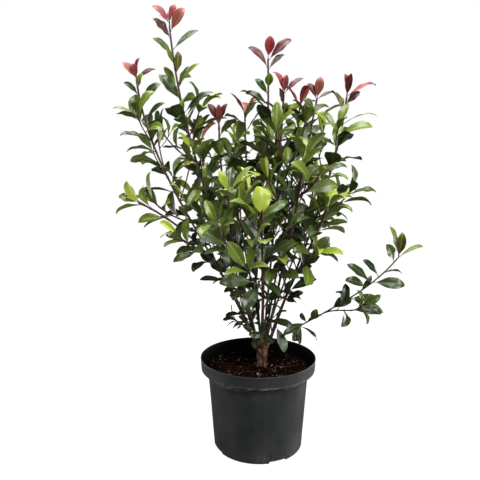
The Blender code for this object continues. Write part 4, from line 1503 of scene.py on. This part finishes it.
def blade_frames(leaf, curve, rows, twist):
    """The middle of each row of a blade, and its directions across and up."""
    along, normal = np.array(leaf.along), np.array(leaf.normal)
    side = np.cross(normal, along)
    at = STALK_SHARE + (1.0 - STALK_SHARE) * rows
    turn = np.interp(at, *curve[:2])[:, None]
    spin = (twist * (rows - TWIST_FROM))[:, None]
    up = np.cos(turn) * normal + np.sin(turn) * along
    across = np.cos(spin) * side + np.sin(spin) * up
    return on_midrib(leaf, curve, at), across, np.cos(spin) * up - np.sin(spin) * side


def blade_rings(leaf, width, rows, frames, rng):
    """Rings of points round a blade: folded, domed and waved, with a groove and a keel."""
    centre, across, up = frames
    half = width * blade_outline(rows) / 2 + BLADE_EDGE * STALK_RADIUS
    half[-1] = BLADE_END
    half = half[:, None]
    spread = np.abs(COLUMNS)
    fold = mix(FOLD, FOLD_YOUNG, leaf.young) * rng.uniform(*FOLD_VARIES)
    phase = rng.uniform(0.0, math.tau)
    ripple = np.sin(WAVES * math.tau * rows[:, None] + phase + WAVE_SHIFT * (COLUMNS > 0))
    flare = spread**2 * WAVE * rng.uniform(*WAVE_VARIES)
    rib = (spread < RIB_SPREAD) * (1.0 - rows[:, None])
    lift = half * (spread * math.sin(fold) - spread**2 * DOME + flare * ripple)
    lift = lift - RIB_GROOVE * rib
    below = lift - BLADE_THICKNESS * (1.0 - spread**2) - RIB_KEEL * rib
    flat = centre[:, None, :] + (half * COLUMNS * math.cos(fold))[..., None] * across[:, None, :]
    over = flat + lift[..., None] * up[:, None, :]
    under = flat + below[..., None] * up[:, None, :]
    return np.concatenate((over, under[:, -2:0:-1]), axis=1)


def draw_leaf(batch, leaf, tint, rng):
    """A leaf with its stalk: folded, domed, waved, twisted and hooked at its tip."""
    width = leaf.width * rng.uniform(*DRAWN_WIDTH_VARIES)
    curve = curled(leaf, HOOK * rng.uniform(*HOOK_VARIES))
    rows = np.linspace(0.0, 1.0, BLADE_ROWS)
    rows = rows + ROW_CROWDING * np.sin(math.tau * rows)
    frames = blade_frames(leaf, curve, rows, TWIST * rng.uniform(-1.0, 1.0))
    rings = blade_rings(leaf, width, rows, frames, rng)
    places = np.zeros((*rings.shape[:2], 2))
    places[:, :, 0] = rows[:, None]
    places[:, :, 1] = np.concatenate((COLUMNS, COLUMNS[-2:0:-1])) / 2 + MIDDLE
    finishes = [tint_part(tint, part) for part in BLADE_PARTS]
    batch.add(rings.reshape(-1, 3), BLADE_FACES, finishes, places.reshape(-1, 2))
    at = np.linspace(0.0, STALK_SHARE + STALK_OVERLAP, STALK_RINGS)
    stalk = on_midrib(leaf, curve, at) - STALK_SINK * np.array(leaf.normal)
    radii = np.linspace(*STALK_TAPER, STALK_RINGS) * STALK_RADIUS
    batch.add_tube(stalk, radii, STALK_SIDES, tint_part(tint, "stalk"))


def choose_tint(leaf, rng):
    """A young leaf's tint by its youth, and an old one's by how much light it gets: the darker
    tints inside and low down are partly painted shade.
    """
    for least, tints in zip(YOUTHS, FLUSHES[flush_of(leaf.limb)]):
        if leaf.young >= least:
            return rng.choice(tints)
    tip = leaf_point(leaf, SPACE_SHARE, 0.0, 0.0)
    height = (tip.z - LIGHT_FROM) / LIGHT_RUN
    out = tip.xy.length / LIGHT_REACH
    light = LIGHT_UP * height + LIGHT_OUT * out + rng.uniform(*LIGHT_VARIES)
    return next(tint for limit, tint in MATURE_TINTS if light < limit)


# Stems and twigs


def drawn_radius(shoot, share):
    """A stem's radius as drawn: slimmer than the solid at the foot, fuller at the tip."""
    tip = 1.0 if shoot.name == BASE_SHOOT else STEM_GIRTHS[1]
    return stem_radius(shoot, share) * mix(STEM_GIRTHS[0], tip, share)


def fine_path(limb, spacing):
    """Points close together along a limb's true curve, with their radii."""
    count = max(FEWEST_RINGS, int(limb_length(limb) / spacing) + 1)
    shares = np.linspace(limb.start, 1.0, count).tolist()
    points = np.array([bezier(limb.corners, share)[0] for share in shares])
    if limb.order in (BOUGH, STEM):
        return points, np.array([drawn_radius(limb.shoot, share) for share in shares])
    return points, np.linspace(limb.radii[0], limb.radii[-1], count)


def swell_at_leaves(points, radii, leaves):
    """Make the stem a little thicker where each leaf leaves it."""
    reach = reach_along(points)
    grown = radii.copy()
    for leaf in leaves:
        grown += radii * NODE_SWELL * np.exp(-(((reach - leaf.distance) / NODE_RUN) ** 2))
    return grown


def stem_finish(limb, to_tip):
    """The finish of a limb at a distance from its tip, where it is youngest."""
    if limb.shoot.name == BASE_SHOOT or to_tip >= RED_STEM:
        return "stem_brown"
    return "stem_young" if to_tip < YOUNG_STEM else "stem_red"


def draw_limb(batch, limb, leaves, rng):
    """A stem, fork or twig, whose foot starts inside the limb that it leaves."""
    twig = limb.order == TWIG
    sides = TWIG_SIDES if twig else STEM_SIDES
    points, radii = fine_path(limb, TWIG_SPACING if twig else STEM_SPACING)
    radii = swell_at_leaves(points, radii, leaves)
    radii[-1] *= TIP_CLOSE
    if twig:
        points[0] = points[0] - TWIG_SINK * (points[1] - points[0])
    rings = len(points)
    left = reach_along(points)[-1] * np.linspace(1.0, 0.0, rings - 1)
    names = [stem_finish(limb, to_tip) for to_tip in left for side in range(sides)]
    names += [names[0], "stem_young"]
    wander = np.array([[rng.uniform(-1, 1) for side in range(sides)] for ring in range(rings)])
    points = tube_points(points, radii[:, None] * (1.0 + STEM_WANDER * wander), sides)
    batch.add(points, ring_faces(rings, sides), names)


def make_masses(limbs, leaves, placed):
    """Each mass as two joined meshes: its stem with twigs, and its leaves."""
    for shoot in SHOOTS:
        rng = random.Random(shoot.seed + MASS_SEED)
        wood = Batch()
        foliage = Batch()
        for limb in limbs[shoot.name]:
            own = [leaf for leaf in leaves[shoot.name] if leaf.limb is limb]
            draw_limb(wood, limb, own, rng)
            for leaf in own:
                root = bezier(limb.corners, fine_share(limb, leaf.distance))[0]
                drawn = drawn_size(leaf)._replace(root=root)
                draw_leaf(foliage, drawn, choose_tint(leaf, rng), rng)
        rng = random.Random(shoot.seed + PLACED_SEED)
        for leaf, tint in placed[shoot.name]:
            draw_leaf(foliage, leaf, tint, rng)
        node_name = "foliage_" + shoot.name
        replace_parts(wood.make("twigs_" + shoot.name, STEM_SHARP), node_name)
        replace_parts(foliage.make("leaves_" + shoot.name, LEAF_SHARP), node_name)


# Trunk and boughs with bark


def bark_radii(points, radii, sides, relief):
    """Radii for each side of each ring, with the ridges and scars of bark."""
    across, other = frames_along(points)
    grown = []
    for point, radius, x, y in zip(points, radii, across, other):
        ring = []
        for side in range(sides):
            turn = side * math.tau / sides
            spot = Vector(point + radius * (math.cos(turn) * x + math.sin(turn) * y))
            ring.append(radius * (1.0 + relief * noise.noise(spot * BARK_GRAIN)))
        grown.append(ring)
    return np.array(grown)


def gathered(point):
    """Draw the foot of a bough in to the trunk's axis, where an old foot grows as one."""
    axis = np.array(TRUNK_TOP.xy)
    out = np.array(point[:2]) - axis
    rise = (point[2] - TRUNK_TOP.z) / GATHER_RISE
    away = (np.linalg.norm(out) - GATHER_FROM) / GATHER_OUT
    share = min(1.0, max(0.0, rise, away))
    pull = mix(GATHER, 1.0, share * share * (3.0 - 2.0 * share))
    return np.array((*(axis + pull * out), point[2]))


def foot_radius(bough, share):
    """A bough's radius as drawn, with the main ones thicker at the foot."""
    girth = GIRTHS.get(bough.shoot.name, 1.0)
    return drawn_radius(bough.shoot, share) * mix(girth, 1.0, min(1.0, share / bough.start))


def bough_path(bough, end, count):
    """Points along a bough as drawn, up to a share of its shoot, and those shares."""
    shares = np.linspace(0.0, end, count).tolist()
    return [gathered(bezier(bough.corners, share)[0]) for share in shares], shares


def make_boughs(boughs):
    """All boughs as one mesh with bark, from inside the trunk into their masses."""
    wood = Batch()
    for bough in boughs:
        length = limb_length(bough)
        end = bough.start * (1.0 + BOUGH_OVERLAP / length)
        path, shares = bough_path(bough, end, int(length / BARK_SPACING))
        radii = [foot_radius(bough, share) for share in shares]
        path = np.array([gathered(bough.points[0]) - (0.0, 0.0, BOUGH_SINK)] + path)
        radii = np.array([radii[0]] + radii)
        radii[-1] *= BOUGH_END
        ring_radii = bark_radii(path, radii, BARK_SIDES, BARK_RELIEF)
        bark = "bark_old" if bough.shoot.name in TAN_SHOOTS else "bark_dark"
        wood.add_tube(path, ring_radii, BARK_SIDES, bark)
    made = wood.make("boughs_with_bark", BARK_SHARP)
    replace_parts(made, *["bough_" + bough.shoot.name for bough in boughs])


def add_foot(wood, bough):
    """Take in the swollen foot of a bough, from the heart of the trunk upward."""
    end = bough.start * FOOT_RUN / limb_length(bough)
    path, shares = bough_path(bough, end, FOOT_RINGS)
    foot = gathered(bough.points[0])
    heart = mix(foot, np.array((*TRUNK_TOP.xy, foot[2])), FOOT_HEART) - (0.0, 0.0, FOOT_SINK)
    path = np.array([heart, foot] + path)
    swell = np.linspace(1.0, 0.0, len(path)) ** FOOT_POWER
    wood.add_tube(path, foot_radius(bough, 0.0) * mix(*FOOT_SIZES, swell), FOOT_SIDES, "bark_old")


def rough_trunk(boughs):
    """The fluted trunk and the feet of its boughs, one through the other."""
    wood = Batch()
    heights = np.linspace(0.0, 1.0, TRUNK_RINGS)
    path = np.array([TRUNK_FOOT.lerp(TRUNK_TOP, share) for share in heights])
    sizes = np.interp(heights, *zip(*DRAWN_TRUNK))
    sizes = sizes * np.clip(1.0 - (heights - TRUNK_CLOSES) * TRUNK_CLOSING, TRUNK_LEAST, 1.0)
    turns = np.arange(TRUNK_SIDES) * math.tau / TRUNK_SIDES
    flutes = np.cos(TRUNK_FLUTES * turns[None, :] + FLUTE_TURN * heights[:, None])
    radii = sizes[:, None] * (1.0 + TRUNK_FLUTE * flutes)
    wood.add_tube(path, radii, TRUNK_SIDES, "bark_old")
    for bough in boughs:
        add_foot(wood, bough)
    return wood.make("trunk_rough", BARK_SHARP)


def make_trunk(boughs):
    """The fluted old foot of the shrub, grown together with the feet of its boughs."""
    rough = rough_trunk(boughs)
    join = rough.modifiers.new("Join", "REMESH")
    join.mode = "VOXEL"
    join.voxel_size = VOXEL
    soften = rough.modifiers.new("Soften", "SMOOTH")
    soften.factor = SOFTEN
    soften.iterations = SOFTEN_TIMES
    mesh = worked_mesh(rough)
    bpy.data.objects.remove(rough, do_unlink=True)
    mesh.name = "trunk_with_bark"
    normals = [vertex.normal.copy() for vertex in mesh.vertices]
    for vertex, normal in zip(mesh.vertices, normals):
        spot = vertex.co * BARK_GRAIN
        grain = noise.noise(spot) + FINE_RELIEF * noise.noise(spot * FINE_GRAIN)
        vertex.co += TRUNK_RELIEF * grain * normal
        vertex.co.z = max(vertex.co.z, TRUNK_FOOT.z)
    mesh.materials.clear()
    mesh.materials.append(FINISHES["bark_old"])
    mesh.shade_smooth()
    made = add_object("trunk_with_bark", mesh)
    dress(made)
    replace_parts(made, "trunk")


# Pot


def arc(middle, radius, start, end, count):
    """Points of a profile's round stretch, by the angles of its ends in degrees."""
    turns = [math.radians(mix(start, end, number / (count - 1))) for number in range(count)]
    return [(middle[0] + radius * math.cos(t), middle[1] + radius * math.sin(t)) for t in turns]


def pot_profile(top):
    """The pot's outline: up inside, over the lip, down outside and under the foot."""
    foot = POT_FOOT_RADIUS + POT_CORNER
    inner_foot = foot - POT_WALL
    band = POT_BAND_RADIUS
    band_top = POT_BAND_FOOT + POT_BAND_SLOPE
    roll = POT_LIP / 2
    profile = [(0.0, POT_FLOOR)]
    profile += [(inner_foot - POT_CHAMFER, POT_FLOOR), (inner_foot, POT_FLOOR + POT_CHAMFER)]
    profile += [(POT_WALL_RADIUS - POT_WALL, POT_BAND_FOOT - POT_WALL)]
    profile += [(band - POT_WALL - BAND_SHOULDER, band_top), (band - POT_LIP, top - LIP_RUN)]
    profile += arc((band - roll, top - roll), roll, *LIP_TURNS)
    profile += [(band - BAND_TOP[0], top - BAND_TOP[1])]
    profile += [(band - BAND_LOW[0], band_top + BAND_LOW[1])]
    profile += arc((band - BAND_EDGE[0], band_top + BAND_EDGE[1]), BAND_ROUND, *BAND_TURNS)
    neck = (POT_WALL_RADIUS + NECK_ROUND, POT_BAND_FOOT - NECK_DROP)
    profile += arc(neck, NECK_ROUND, *NECK_TURNS)
    for step in reversed(range(1, WALL_STEPS)):
        share = step / WALL_STEPS
        height = mix(POT_CORNER + WALL_FROM, POT_BAND_FOOT - WALL_TO, share)
        profile.append((mix(foot, POT_WALL_RADIUS, share), height))
    profile += arc((POT_FOOT_RADIUS, POT_CORNER), POT_CORNER, *FOOT_TURNS)
    outer_rim, inner_rim = (POT_FOOT_RADIUS - rim for rim in FOOT_RIMS)
    return profile + [(outer_rim, 0.0), (inner_rim, FOOT_HOLLOW), (0.0, FOOT_HOLLOW)]


def turned(name, profile, finish_name):
    """Turn a profile of (radius, height) points about the Z axis."""
    mesh = bpy.data.meshes.new(name)
    body = bmesh.new()
    points = [body.verts.new((radius, 0.0, height)) for radius, height in profile]
    for low, high in zip(points, points[1:]):
        body.edges.new((low, high))
    body.to_mesh(mesh)
    body.free()
    mesh.materials.append(FINISHES[finish_name])
    made = add_object(name, mesh)
    screw = made.modifiers.new("Turn", "SCREW")
    screw.steps = POT_STEPS
    screw.render_steps = POT_STEPS
    screw.use_merge_vertices = True
    screw.merge_threshold = SEAM
    return made


def cut_drain(pot, number):
    """Cut one drain slot through the corner of the pot's foot."""
    turn = DRAIN_TURN + math.tau * number / DRAINS
    mesh = bpy.data.meshes.new("drain")
    body = bmesh.new()
    bmesh.ops.create_cube(body, size=1.0)
    body.to_mesh(mesh)
    body.free()
    cutter = add_object("drain", mesh)
    middle = POT_FOOT_RADIUS + POT_CORNER
    cutter.location = (middle * math.cos(turn), middle * math.sin(turn), 0.0)
    cutter.rotation_euler = (0.0, 0.0, turn)
    cutter.scale = (2 * DRAIN_REACH, DRAIN_WIDTH, 2 * DRAIN_HEIGHT)
    cut = pot.modifiers.new("drain", "BOOLEAN")
    cut.operation = "DIFFERENCE"
    cut.solver = "EXACT"
    cut.object = cutter
    return cutter


def dent(mesh, top):
    """Make the wall a little uneven, but not at its foot and lip."""
    for vertex in mesh.vertices:
        below_lip = max(0.0, top - DENT_LIP - vertex.co.z)
        share = min(1.0, vertex.co.z / DENT_FADE) * min(1.0, below_lip / DENT_FADE)
        out = Vector((vertex.co.x, vertex.co.y, 0.0))
        if out.length > DENT_FROM:
            vertex.co += noise.noise(vertex.co * DENT_SCALE) * DENT * share * out.normalized()


def paint_inside_shade(mesh, top):
    """Give the faces that look inward, below the lip, the darker finish of the inside, which
    paints the shade in the pot's hollow.
    """
    mesh.materials.append(FINISHES["pot_inside_shade"])
    for face in mesh.polygons:
        out = Vector((face.center.x, face.center.y, 0.0)).normalized()
        if face.normal.dot(out) < -INSIDE_TURN and face.center.z < top - POT_LIP:
            face.material_index = 1


def make_pot():
    """A pot with a rolled lip, a deep rim band, a stepped foot and drain slots."""
    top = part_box("pot")[1].z
    pot = turned("pot_moulded", pot_profile(top), "pot_plastic")
    cutters = [cut_drain(pot, number) for number in range(DRAINS)]
    mesh = worked_mesh(pot)
    pot.modifiers.clear()
    pot.data = mesh
    for cutter in cutters:
        bpy.data.objects.remove(cutter, do_unlink=True)
    dent(mesh, top)
    # Painted shade: the inward faces get a far darker finish
    paint_inside_shade(mesh, top)
    mesh.shade_smooth()
    mesh.set_sharp_from_angle(angle=POT_SHARP)
    dress(pot)
    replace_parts(pot, "pot")


# Compost


def soil_height(x, y, edge):
    """The height of the rough compost at a place on it."""
    places = (0.0, SOIL_SEAT_RADIUS, SOIL_MOUND_SHARE * edge, SOIL_ROLL_SHARE * edge, edge)
    heights = (SOIL_SEAT, SOIL_SEAT, SOIL_EDGE + SOIL_MOUND, SOIL_EDGE + SOIL_ROLL, SOIL_EDGE)
    spot = Vector((x, y, 0.0))
    rough = noise.noise(spot * SOIL_LUMPS) + SOIL_CRUMB_SHARE * noise.noise(spot * SOIL_CRUMBS)
    plain = float(np.interp(math.hypot(x, y), places, heights))
    return plain + SOIL_ROUGH * (rough - SOIL_SINK)


def soil_ring(radius, height_at):
    """A ring of points, each at the height that its place gives."""
    for number in range(SOIL_SPOKES):
        turn = number * math.tau / SOIL_SPOKES
        x, y = radius * math.cos(turn), radius * math.sin(turn)
        yield x, y, height_at(x, y)


def make_soil():
    """Rough compost that laps up the band, goes down the wall and is flat below."""
    low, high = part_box("soil")
    edge = (high.x - low.x) / 2
    waist = POT_WALL_RADIUS - POT_WALL - SOIL_CLEARANCE
    foot = POT_FOOT_RADIUS + POT_CORNER - POT_WALL - SOIL_CLEARANCE
    points = []
    for ring in range(SOIL_RINGS):
        radius = edge * max(SOIL_HEART, ring / (SOIL_RINGS - 1))
        points += soil_ring(radius, lambda x, y: soil_height(x, y, edge))
    points += soil_ring(edge + SOIL_LAP, lambda x, y: soil_height(x, y, edge) + SOIL_LAP_RISE)
    points += soil_ring(waist, lambda x, y: POT_BAND_FOOT - POT_WALL)
    points += soil_ring(foot, lambda x, y: low.z)
    faces = ring_faces(len(points) // SOIL_SPOKES, SOIL_SPOKES)
    faces = [tuple(reversed(face)) for face in faces]
    soil = Batch()
    soil.add(np.array(points), faces, ["soil_dark"] * len(faces))
    made = soil.make("compost", SOIL_SHARP)
    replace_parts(made, "soil")
    make_chips(edge)


def chip_points(rng, middle, size):
    """The eight corners of a flake of bark that lies nearly flat."""
    length, width, height = size
    turn = rng.uniform(0.0, math.tau)
    tilt, roll = rng.gauss(0.0, CHIP_TILT), rng.gauss(0.0, CHIP_TILT)
    x = Vector((math.cos(turn), math.sin(turn), tilt)).normalized()
    y = Vector((-math.sin(turn), math.cos(turn), roll)).normalized()
    z = x.cross(y)
    points = []
    for signs in CHIP_SIGNS:
        a, b, c = (sign * rng.uniform(*CHIP_CORNERS) / 2 for sign in signs)
        points.append(middle + a * length * x + b * width * y + c * height * z)
    return np.array(points)


def add_flake(chips, edge, rng):
    reach = (edge - CHIP_EDGE) * math.sqrt(rng.random())
    turn = rng.uniform(0.0, math.tau)
    x, y = reach * math.cos(turn), reach * math.sin(turn)
    length = CHIP_LENGTH + CHIP_LENGTH_GAIN * rng.random() ** CHIP_LENGTH_POWER
    if rng.random() < LONG_CHIPS:
        length *= LONG_CHIP
    size = (length, length * rng.uniform(*CHIP_WIDTHS), length * rng.uniform(*CHIP_HEIGHTS))
    middle = Vector((x, y, soil_height(x, y, edge) + size[2] * rng.uniform(*CHIP_LIFTS)))
    shares = [share for colour, share in CHIP_COLOURS.values()]
    tint = rng.choices(list(CHIP_COLOURS), shares)[0]
    chips.add(chip_points(rng, middle, size), CHIP_FACES, [tint] * len(CHIP_FACES))


def add_fibre(chips, edge, rng):
    reach = (edge - FIBRE_EDGE) * math.sqrt(rng.random())
    turn = rng.uniform(0.0, math.tau)
    way = rng.uniform(0.0, math.tau)
    length = rng.uniform(*FIBRE_LENGTHS)
    path = []
    for share in np.linspace(-MIDDLE, MIDDLE, FIBRE_RINGS):
        x = reach * math.cos(turn) + length * share * math.cos(way + share)
        y = reach * math.sin(turn) + length * share * math.sin(way + share)
        path.append((x, y, soil_height(x, y, edge) + FIBRE_LIFT))
    radii = np.linspace(*FIBRE_RADII, FIBRE_RINGS)
    chips.add_tube(path, radii, FIBRE_SIDES, rng.choice(FIBRE_TINTS))


def make_chips(edge):
    """Flakes and fibres of bark, loose on the compost."""
    rng = random.Random(CHIP_SEED)
    chips = Batch()
    for number in range(CHIPS):
        add_flake(chips, edge, rng)
    for number in range(FIBRES):
        add_fibre(chips, edge, rng)
    chips.make("bark_chips", CHIP_SHARP)


# Finishes


def shader_input(made, name):
    return made.node_tree.nodes["Principled BSDF"].inputs[name]


def finish(name, colour, roughness, specular=PLAIN_SPECULAR):
    made = bpy.data.materials.new(name)
    made.use_nodes = True
    shader_input(made, "Base Color").default_value = (*colour, 1.0)
    shader_input(made, "Roughness").default_value = roughness
    shader_input(made, "Specular IOR Level").default_value = specular
    FINISHES[name] = made
    return made


def node(made, kind, **values):
    added = made.node_tree.nodes.new(kind)
    for name, value in values.items():
        setattr(added, name, value)
    return added


def link(made, start, end):
    made.node_tree.links.new(start, end)


def maths(made, operation, first, second=None, clamp=False):
    """A Math node. Each input is an output to link or a plain number."""
    added = node(made, "ShaderNodeMath", operation=operation, use_clamp=clamp)
    for socket, value in zip(added.inputs, (first, second)):
        if value is None:
            continue
        if isinstance(value, bpy.types.NodeSocket):
            link(made, value, socket)
        else:
            socket.default_value = value
    return added.outputs[0]


def plus(made, first, second):
    return maths(made, "ADD", first, second)


def minus(made, first, second, clamp=False):
    return maths(made, "SUBTRACT", first, second, clamp)


def times(made, first, second, clamp=False):
    return maths(made, "MULTIPLY", first, second, clamp)


def share_of(made, value, whole, clamp=False):
    return maths(made, "DIVIDE", value, whole, clamp)


def height_of(made):
    """The height in the part's own frame."""
    split = node(made, "ShaderNodeSeparateXYZ")
    link(made, node(made, "ShaderNodeTexCoord").outputs["Object"], split.inputs[0])
    return split.outputs["Z"]


def noise_of(made, scale, detail, roughness=NOISE_ROUGHNESS, stretch=None):
    """Noise in the part's own frame, stretched along an axis if asked."""
    place = node(made, "ShaderNodeTexCoord").outputs["Object"]
    if stretch:
        mapping = node(made, "ShaderNodeMapping")
        mapping.inputs["Scale"].default_value = stretch
        link(made, place, mapping.inputs["Vector"])
        place = mapping.outputs[0]
    texture = node(made, "ShaderNodeTexNoise")
    texture.inputs["Scale"].default_value = scale
    texture.inputs["Detail"].default_value = detail
    texture.inputs["Roughness"].default_value = roughness
    link(made, place, texture.inputs["Vector"])
    return texture.outputs["Fac"]


def ramp(made, value, stops):
    """A colour ramp through (place, colour) stops."""
    added = node(made, "ShaderNodeValToRGB")
    elements = added.color_ramp.elements
    while len(elements) < len(stops):
        elements.new(MIDDLE)
    for element, (place, colour) in zip(elements, stops):
        element.position = place
        element.color = (*colour, 1.0)
    link(made, value, added.inputs[0])
    return added.outputs[0]


def bump(made, height, distance, strength):
    added = node(made, "ShaderNodeBump")
    added.inputs["Strength"].default_value = strength
    added.inputs["Distance"].default_value = distance
    link(made, height, added.inputs["Height"])
    link(made, added.outputs[0], shader_input(made, "Normal"))


def veins(made):
    """Side veins that leave the midrib at a slant, worked out from a leaf's own places."""
    split = node(made, "ShaderNodeSeparateXYZ")
    link(made, node(made, "ShaderNodeUVMap", uv_map=PLACES).outputs[0], split.inputs[0])
    spread = maths(made, "ABSOLUTE", minus(made, split.outputs["Y"], MIDDLE))
    slant = minus(made, split.outputs["X"], times(made, spread, VEIN_SLANT))
    wave = maths(made, "SINE", times(made, slant, VEINS * math.tau))
    return maths(made, "ABSOLUTE", wave)


def leaf_finishes():
    """Both sides of a leaf in each tint, and the ribs and stalks."""
    for name, tint in TINTS.items():
        top = finish(name + "_top", tint.top, tint.gloss, TOP_SPECULAR)
        under = finish(name + "_under", tint.under, UNDER_ROUGHNESS, UNDER_SPECULAR)
        for made in (top, under):
            bump(made, veins(made), *VEIN_BUMP)
    for name, colour in RIBS.items():
        made = finish(name, colour, RIB_ROUGHNESS)
        bump(made, noise_of(made, *RIB_NOISE), *RIB_BUMP)


def stem_finishes():
    for name, (colour, roughness) in STEM_COLOURS.items():
        made = finish(name, colour, roughness)
        bump(made, noise_of(made, *STEM_NOISE), *STEM_BUMP)


def bark_finish(name, turn_run):
    """Tan bark low down, which turns to dark bark over a run of height."""
    made = finish(name, *BARK_PLAIN)
    grain = noise_of(made, *BARK_NOISE)
    patch = noise_of(made, *BARK_PATCHES)
    grain_share, patch_share = BARK_SHARES
    mixed = plus(made, times(made, grain, grain_share), times(made, patch, patch_share))
    rise = share_of(made, minus(made, height_of(made), BARK_TURNS), turn_run, clamp=True)
    rise = minus(made, rise, times(made, patch, BARK_TURN_VARIES), clamp=True)
    both = node(made, "ShaderNodeMix", data_type="RGBA")
    link(made, rise, both.inputs["Factor"])
    for place, stops in zip(MIX_COLOURS, (TAN_BARK, DARK_BARK)):
        link(made, ramp(made, mixed, stops), both.inputs[place])
    link(made, both.outputs[MIX_RESULT], shader_input(made, "Base Color"))
    least, gain = BARK_ROUGHNESS
    link(made, plus(made, times(made, grain, gain), least), shader_input(made, "Roughness"))
    bump(made, mixed, *BARK_BUMP)


def pot_finish():
    """Black plastic with clouds and specks of dust, a dusty foot, lighter patches along the band
    edge, and an inside painted darker as shade.
    """
    made = finish("pot_plastic", *POT_PLASTIC)
    height = height_of(made)
    # Lighter patches along the band's lower edge
    edge = maths(made, "ABSOLUTE", minus(made, height, POT_BAND_FOOT + BAND_LINE_RISE))
    edge = minus(made, 1.0, share_of(made, edge, BAND_LINE_RUN), clamp=True)
    band_patches = minus(made, noise_of(made, *BAND_LINE_NOISE), BAND_LINE_FROM, clamp=True)
    edge = times(made, edge, times(made, band_patches, BAND_LINE_GAIN))
    foot = minus(made, 1.0, share_of(made, height, FOOT_DUST_RUN), clamp=True)
    foot = times(made, foot, noise_of(made, *FOOT_DUST_NOISE))
    cloud = noise_of(made, *CLOUD_NOISE)
    speck = minus(made, noise_of(made, *SPECK_NOISE), SPECK_FROM, clamp=True)
    speck = times(made, speck, SPECK_GAIN, clamp=True)
    dust = plus(made, edge, times(made, foot, FOOT_DUST))
    dust = plus(made, dust, times(made, cloud, CLOUD_DUST))
    dust = plus(made, dust, times(made, speck, plus(made, foot, SPECK_LEAST)))
    link(made, ramp(made, dust, POT_DUST), shader_input(made, "Base Color"))
    least, gain = POT_ROUGHNESS
    link(made, plus(made, times(made, dust, gain), least), shader_input(made, "Roughness"))
    grain = plus(made, noise_of(made, *POT_GRAIN), times(made, cloud, POT_GRAIN_CLOUD))
    bump(made, grain, *POT_BUMP)
    # The inside: far darker than the plastic, as painted shade
    inside = finish("pot_inside_shade", *POT_INSIDE_SHADE)
    bump(inside, noise_of(inside, *INSIDE_NOISE), *INSIDE_BUMP)


def soil_finishes():
    made = finish("soil_dark", *SOIL_FINISH)
    grain = noise_of(made, *SOIL_NOISE)
    link(made, ramp(made, grain, SOIL_COLOURS), shader_input(made, "Base Color"))
    bump(made, grain, *SOIL_BUMP)
    for name, (colour, share) in CHIP_COLOURS.items():
        chip = finish(name, colour, CHIP_ROUGHNESS, CHIP_SPECULAR)
        bump(chip, noise_of(chip, *CHIP_NOISE), *CHIP_BUMP)


def make_finishes():
    leaf_finishes()
    stem_finishes()
    for name, turn_run in BARK_TURN_RUNS.items():
        bark_finish(name, turn_run)
    pot_finish()
    soil_finishes()


# Camera, floor and light


def make_camera():
    camera = add_object("camera", bpy.data.cameras.new("camera"))
    camera.location = CAMERA_PLACE
    camera.rotation_euler = (math.pi / 2 - CAMERA_PITCH, 0.0, 0.0)
    camera.data.lens = CAMERA_LENS
    camera.data.sensor_width = CAMERA_SENSOR
    camera.data.shift_y = CAMERA_SHIFT
    bpy.context.scene.camera = camera


def make_stage():
    """A pale floor that looks white and lights the plant only a little."""
    made = finish("floor_white", FLOOR_COLOUR, FLOOR_ROUGHNESS)
    shader_input(made, "Emission Color").default_value = FLOOR_WHITE
    seen = node(made, "ShaderNodeLightPath").outputs["Is Camera Ray"]
    glow = plus(made, times(made, seen, FLOOR_GLOW - FLOOR_FILL), FLOOR_FILL)
    link(made, glow, shader_input(made, "Emission Strength"))
    body = bmesh.new()
    bmesh.ops.create_grid(
        body, x_segments=FLOOR_CELLS, y_segments=FLOOR_CELLS, size=FLOOR_REACH,
    )
    mesh = bpy.data.meshes.new("floor")
    body.to_mesh(mesh)
    body.free()
    mesh.materials.append(made)
    floor = add_object("floor", mesh)
    floor.visible_glossy = False
    floor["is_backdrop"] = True


def soft_light(entry):
    light = bpy.data.lights.new(entry.name, "AREA")
    light.shape = "RECTANGLE"
    light.size, light.size_y = entry.size
    light.energy = entry.watts
    lamp = add_object(entry.name, light)
    lamp.location = entry.place
    way = Vector(entry.aim) - Vector(entry.place)
    lamp.rotation_euler = way.to_track_quat("-Z", "Y").to_euler()


def make_light():
    """A room that shows as pure white and fills softly, and four soft lights."""
    world = bpy.data.worlds.new("studio")
    world.use_nodes = True
    bpy.context.scene.world = world
    background = world.node_tree.nodes["Background"]
    background.inputs["Color"].default_value = WORLD_COLOUR
    strength = node(world, "ShaderNodeMapRange")
    strength.inputs["To Min"].default_value = WORLD_FILL
    strength.inputs["To Max"].default_value = WORLD_WHITE
    seen = node(world, "ShaderNodeLightPath").outputs["Is Camera Ray"]
    link(world, seen, strength.inputs["Value"])
    link(world, strength.outputs["Result"], background.inputs["Strength"])
    for entry in LIGHTS:
        soft_light(entry)
    bpy.context.scene.view_settings.view_transform = "Standard"


def main():
    make_camera()
    make_stage()
    make_light()
    make_finishes()
    boughs, limbs, leaves, placed = grow_plant()
    make_masses(limbs, leaves, placed)
    make_boughs(boughs)
    make_trunk(boughs)
    make_pot()
    make_soil()


main()
boxes = {"cad": CAD_BOX, "visual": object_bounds()}
{name: [list(corner) for corner in box] for name, box in boxes.items()}
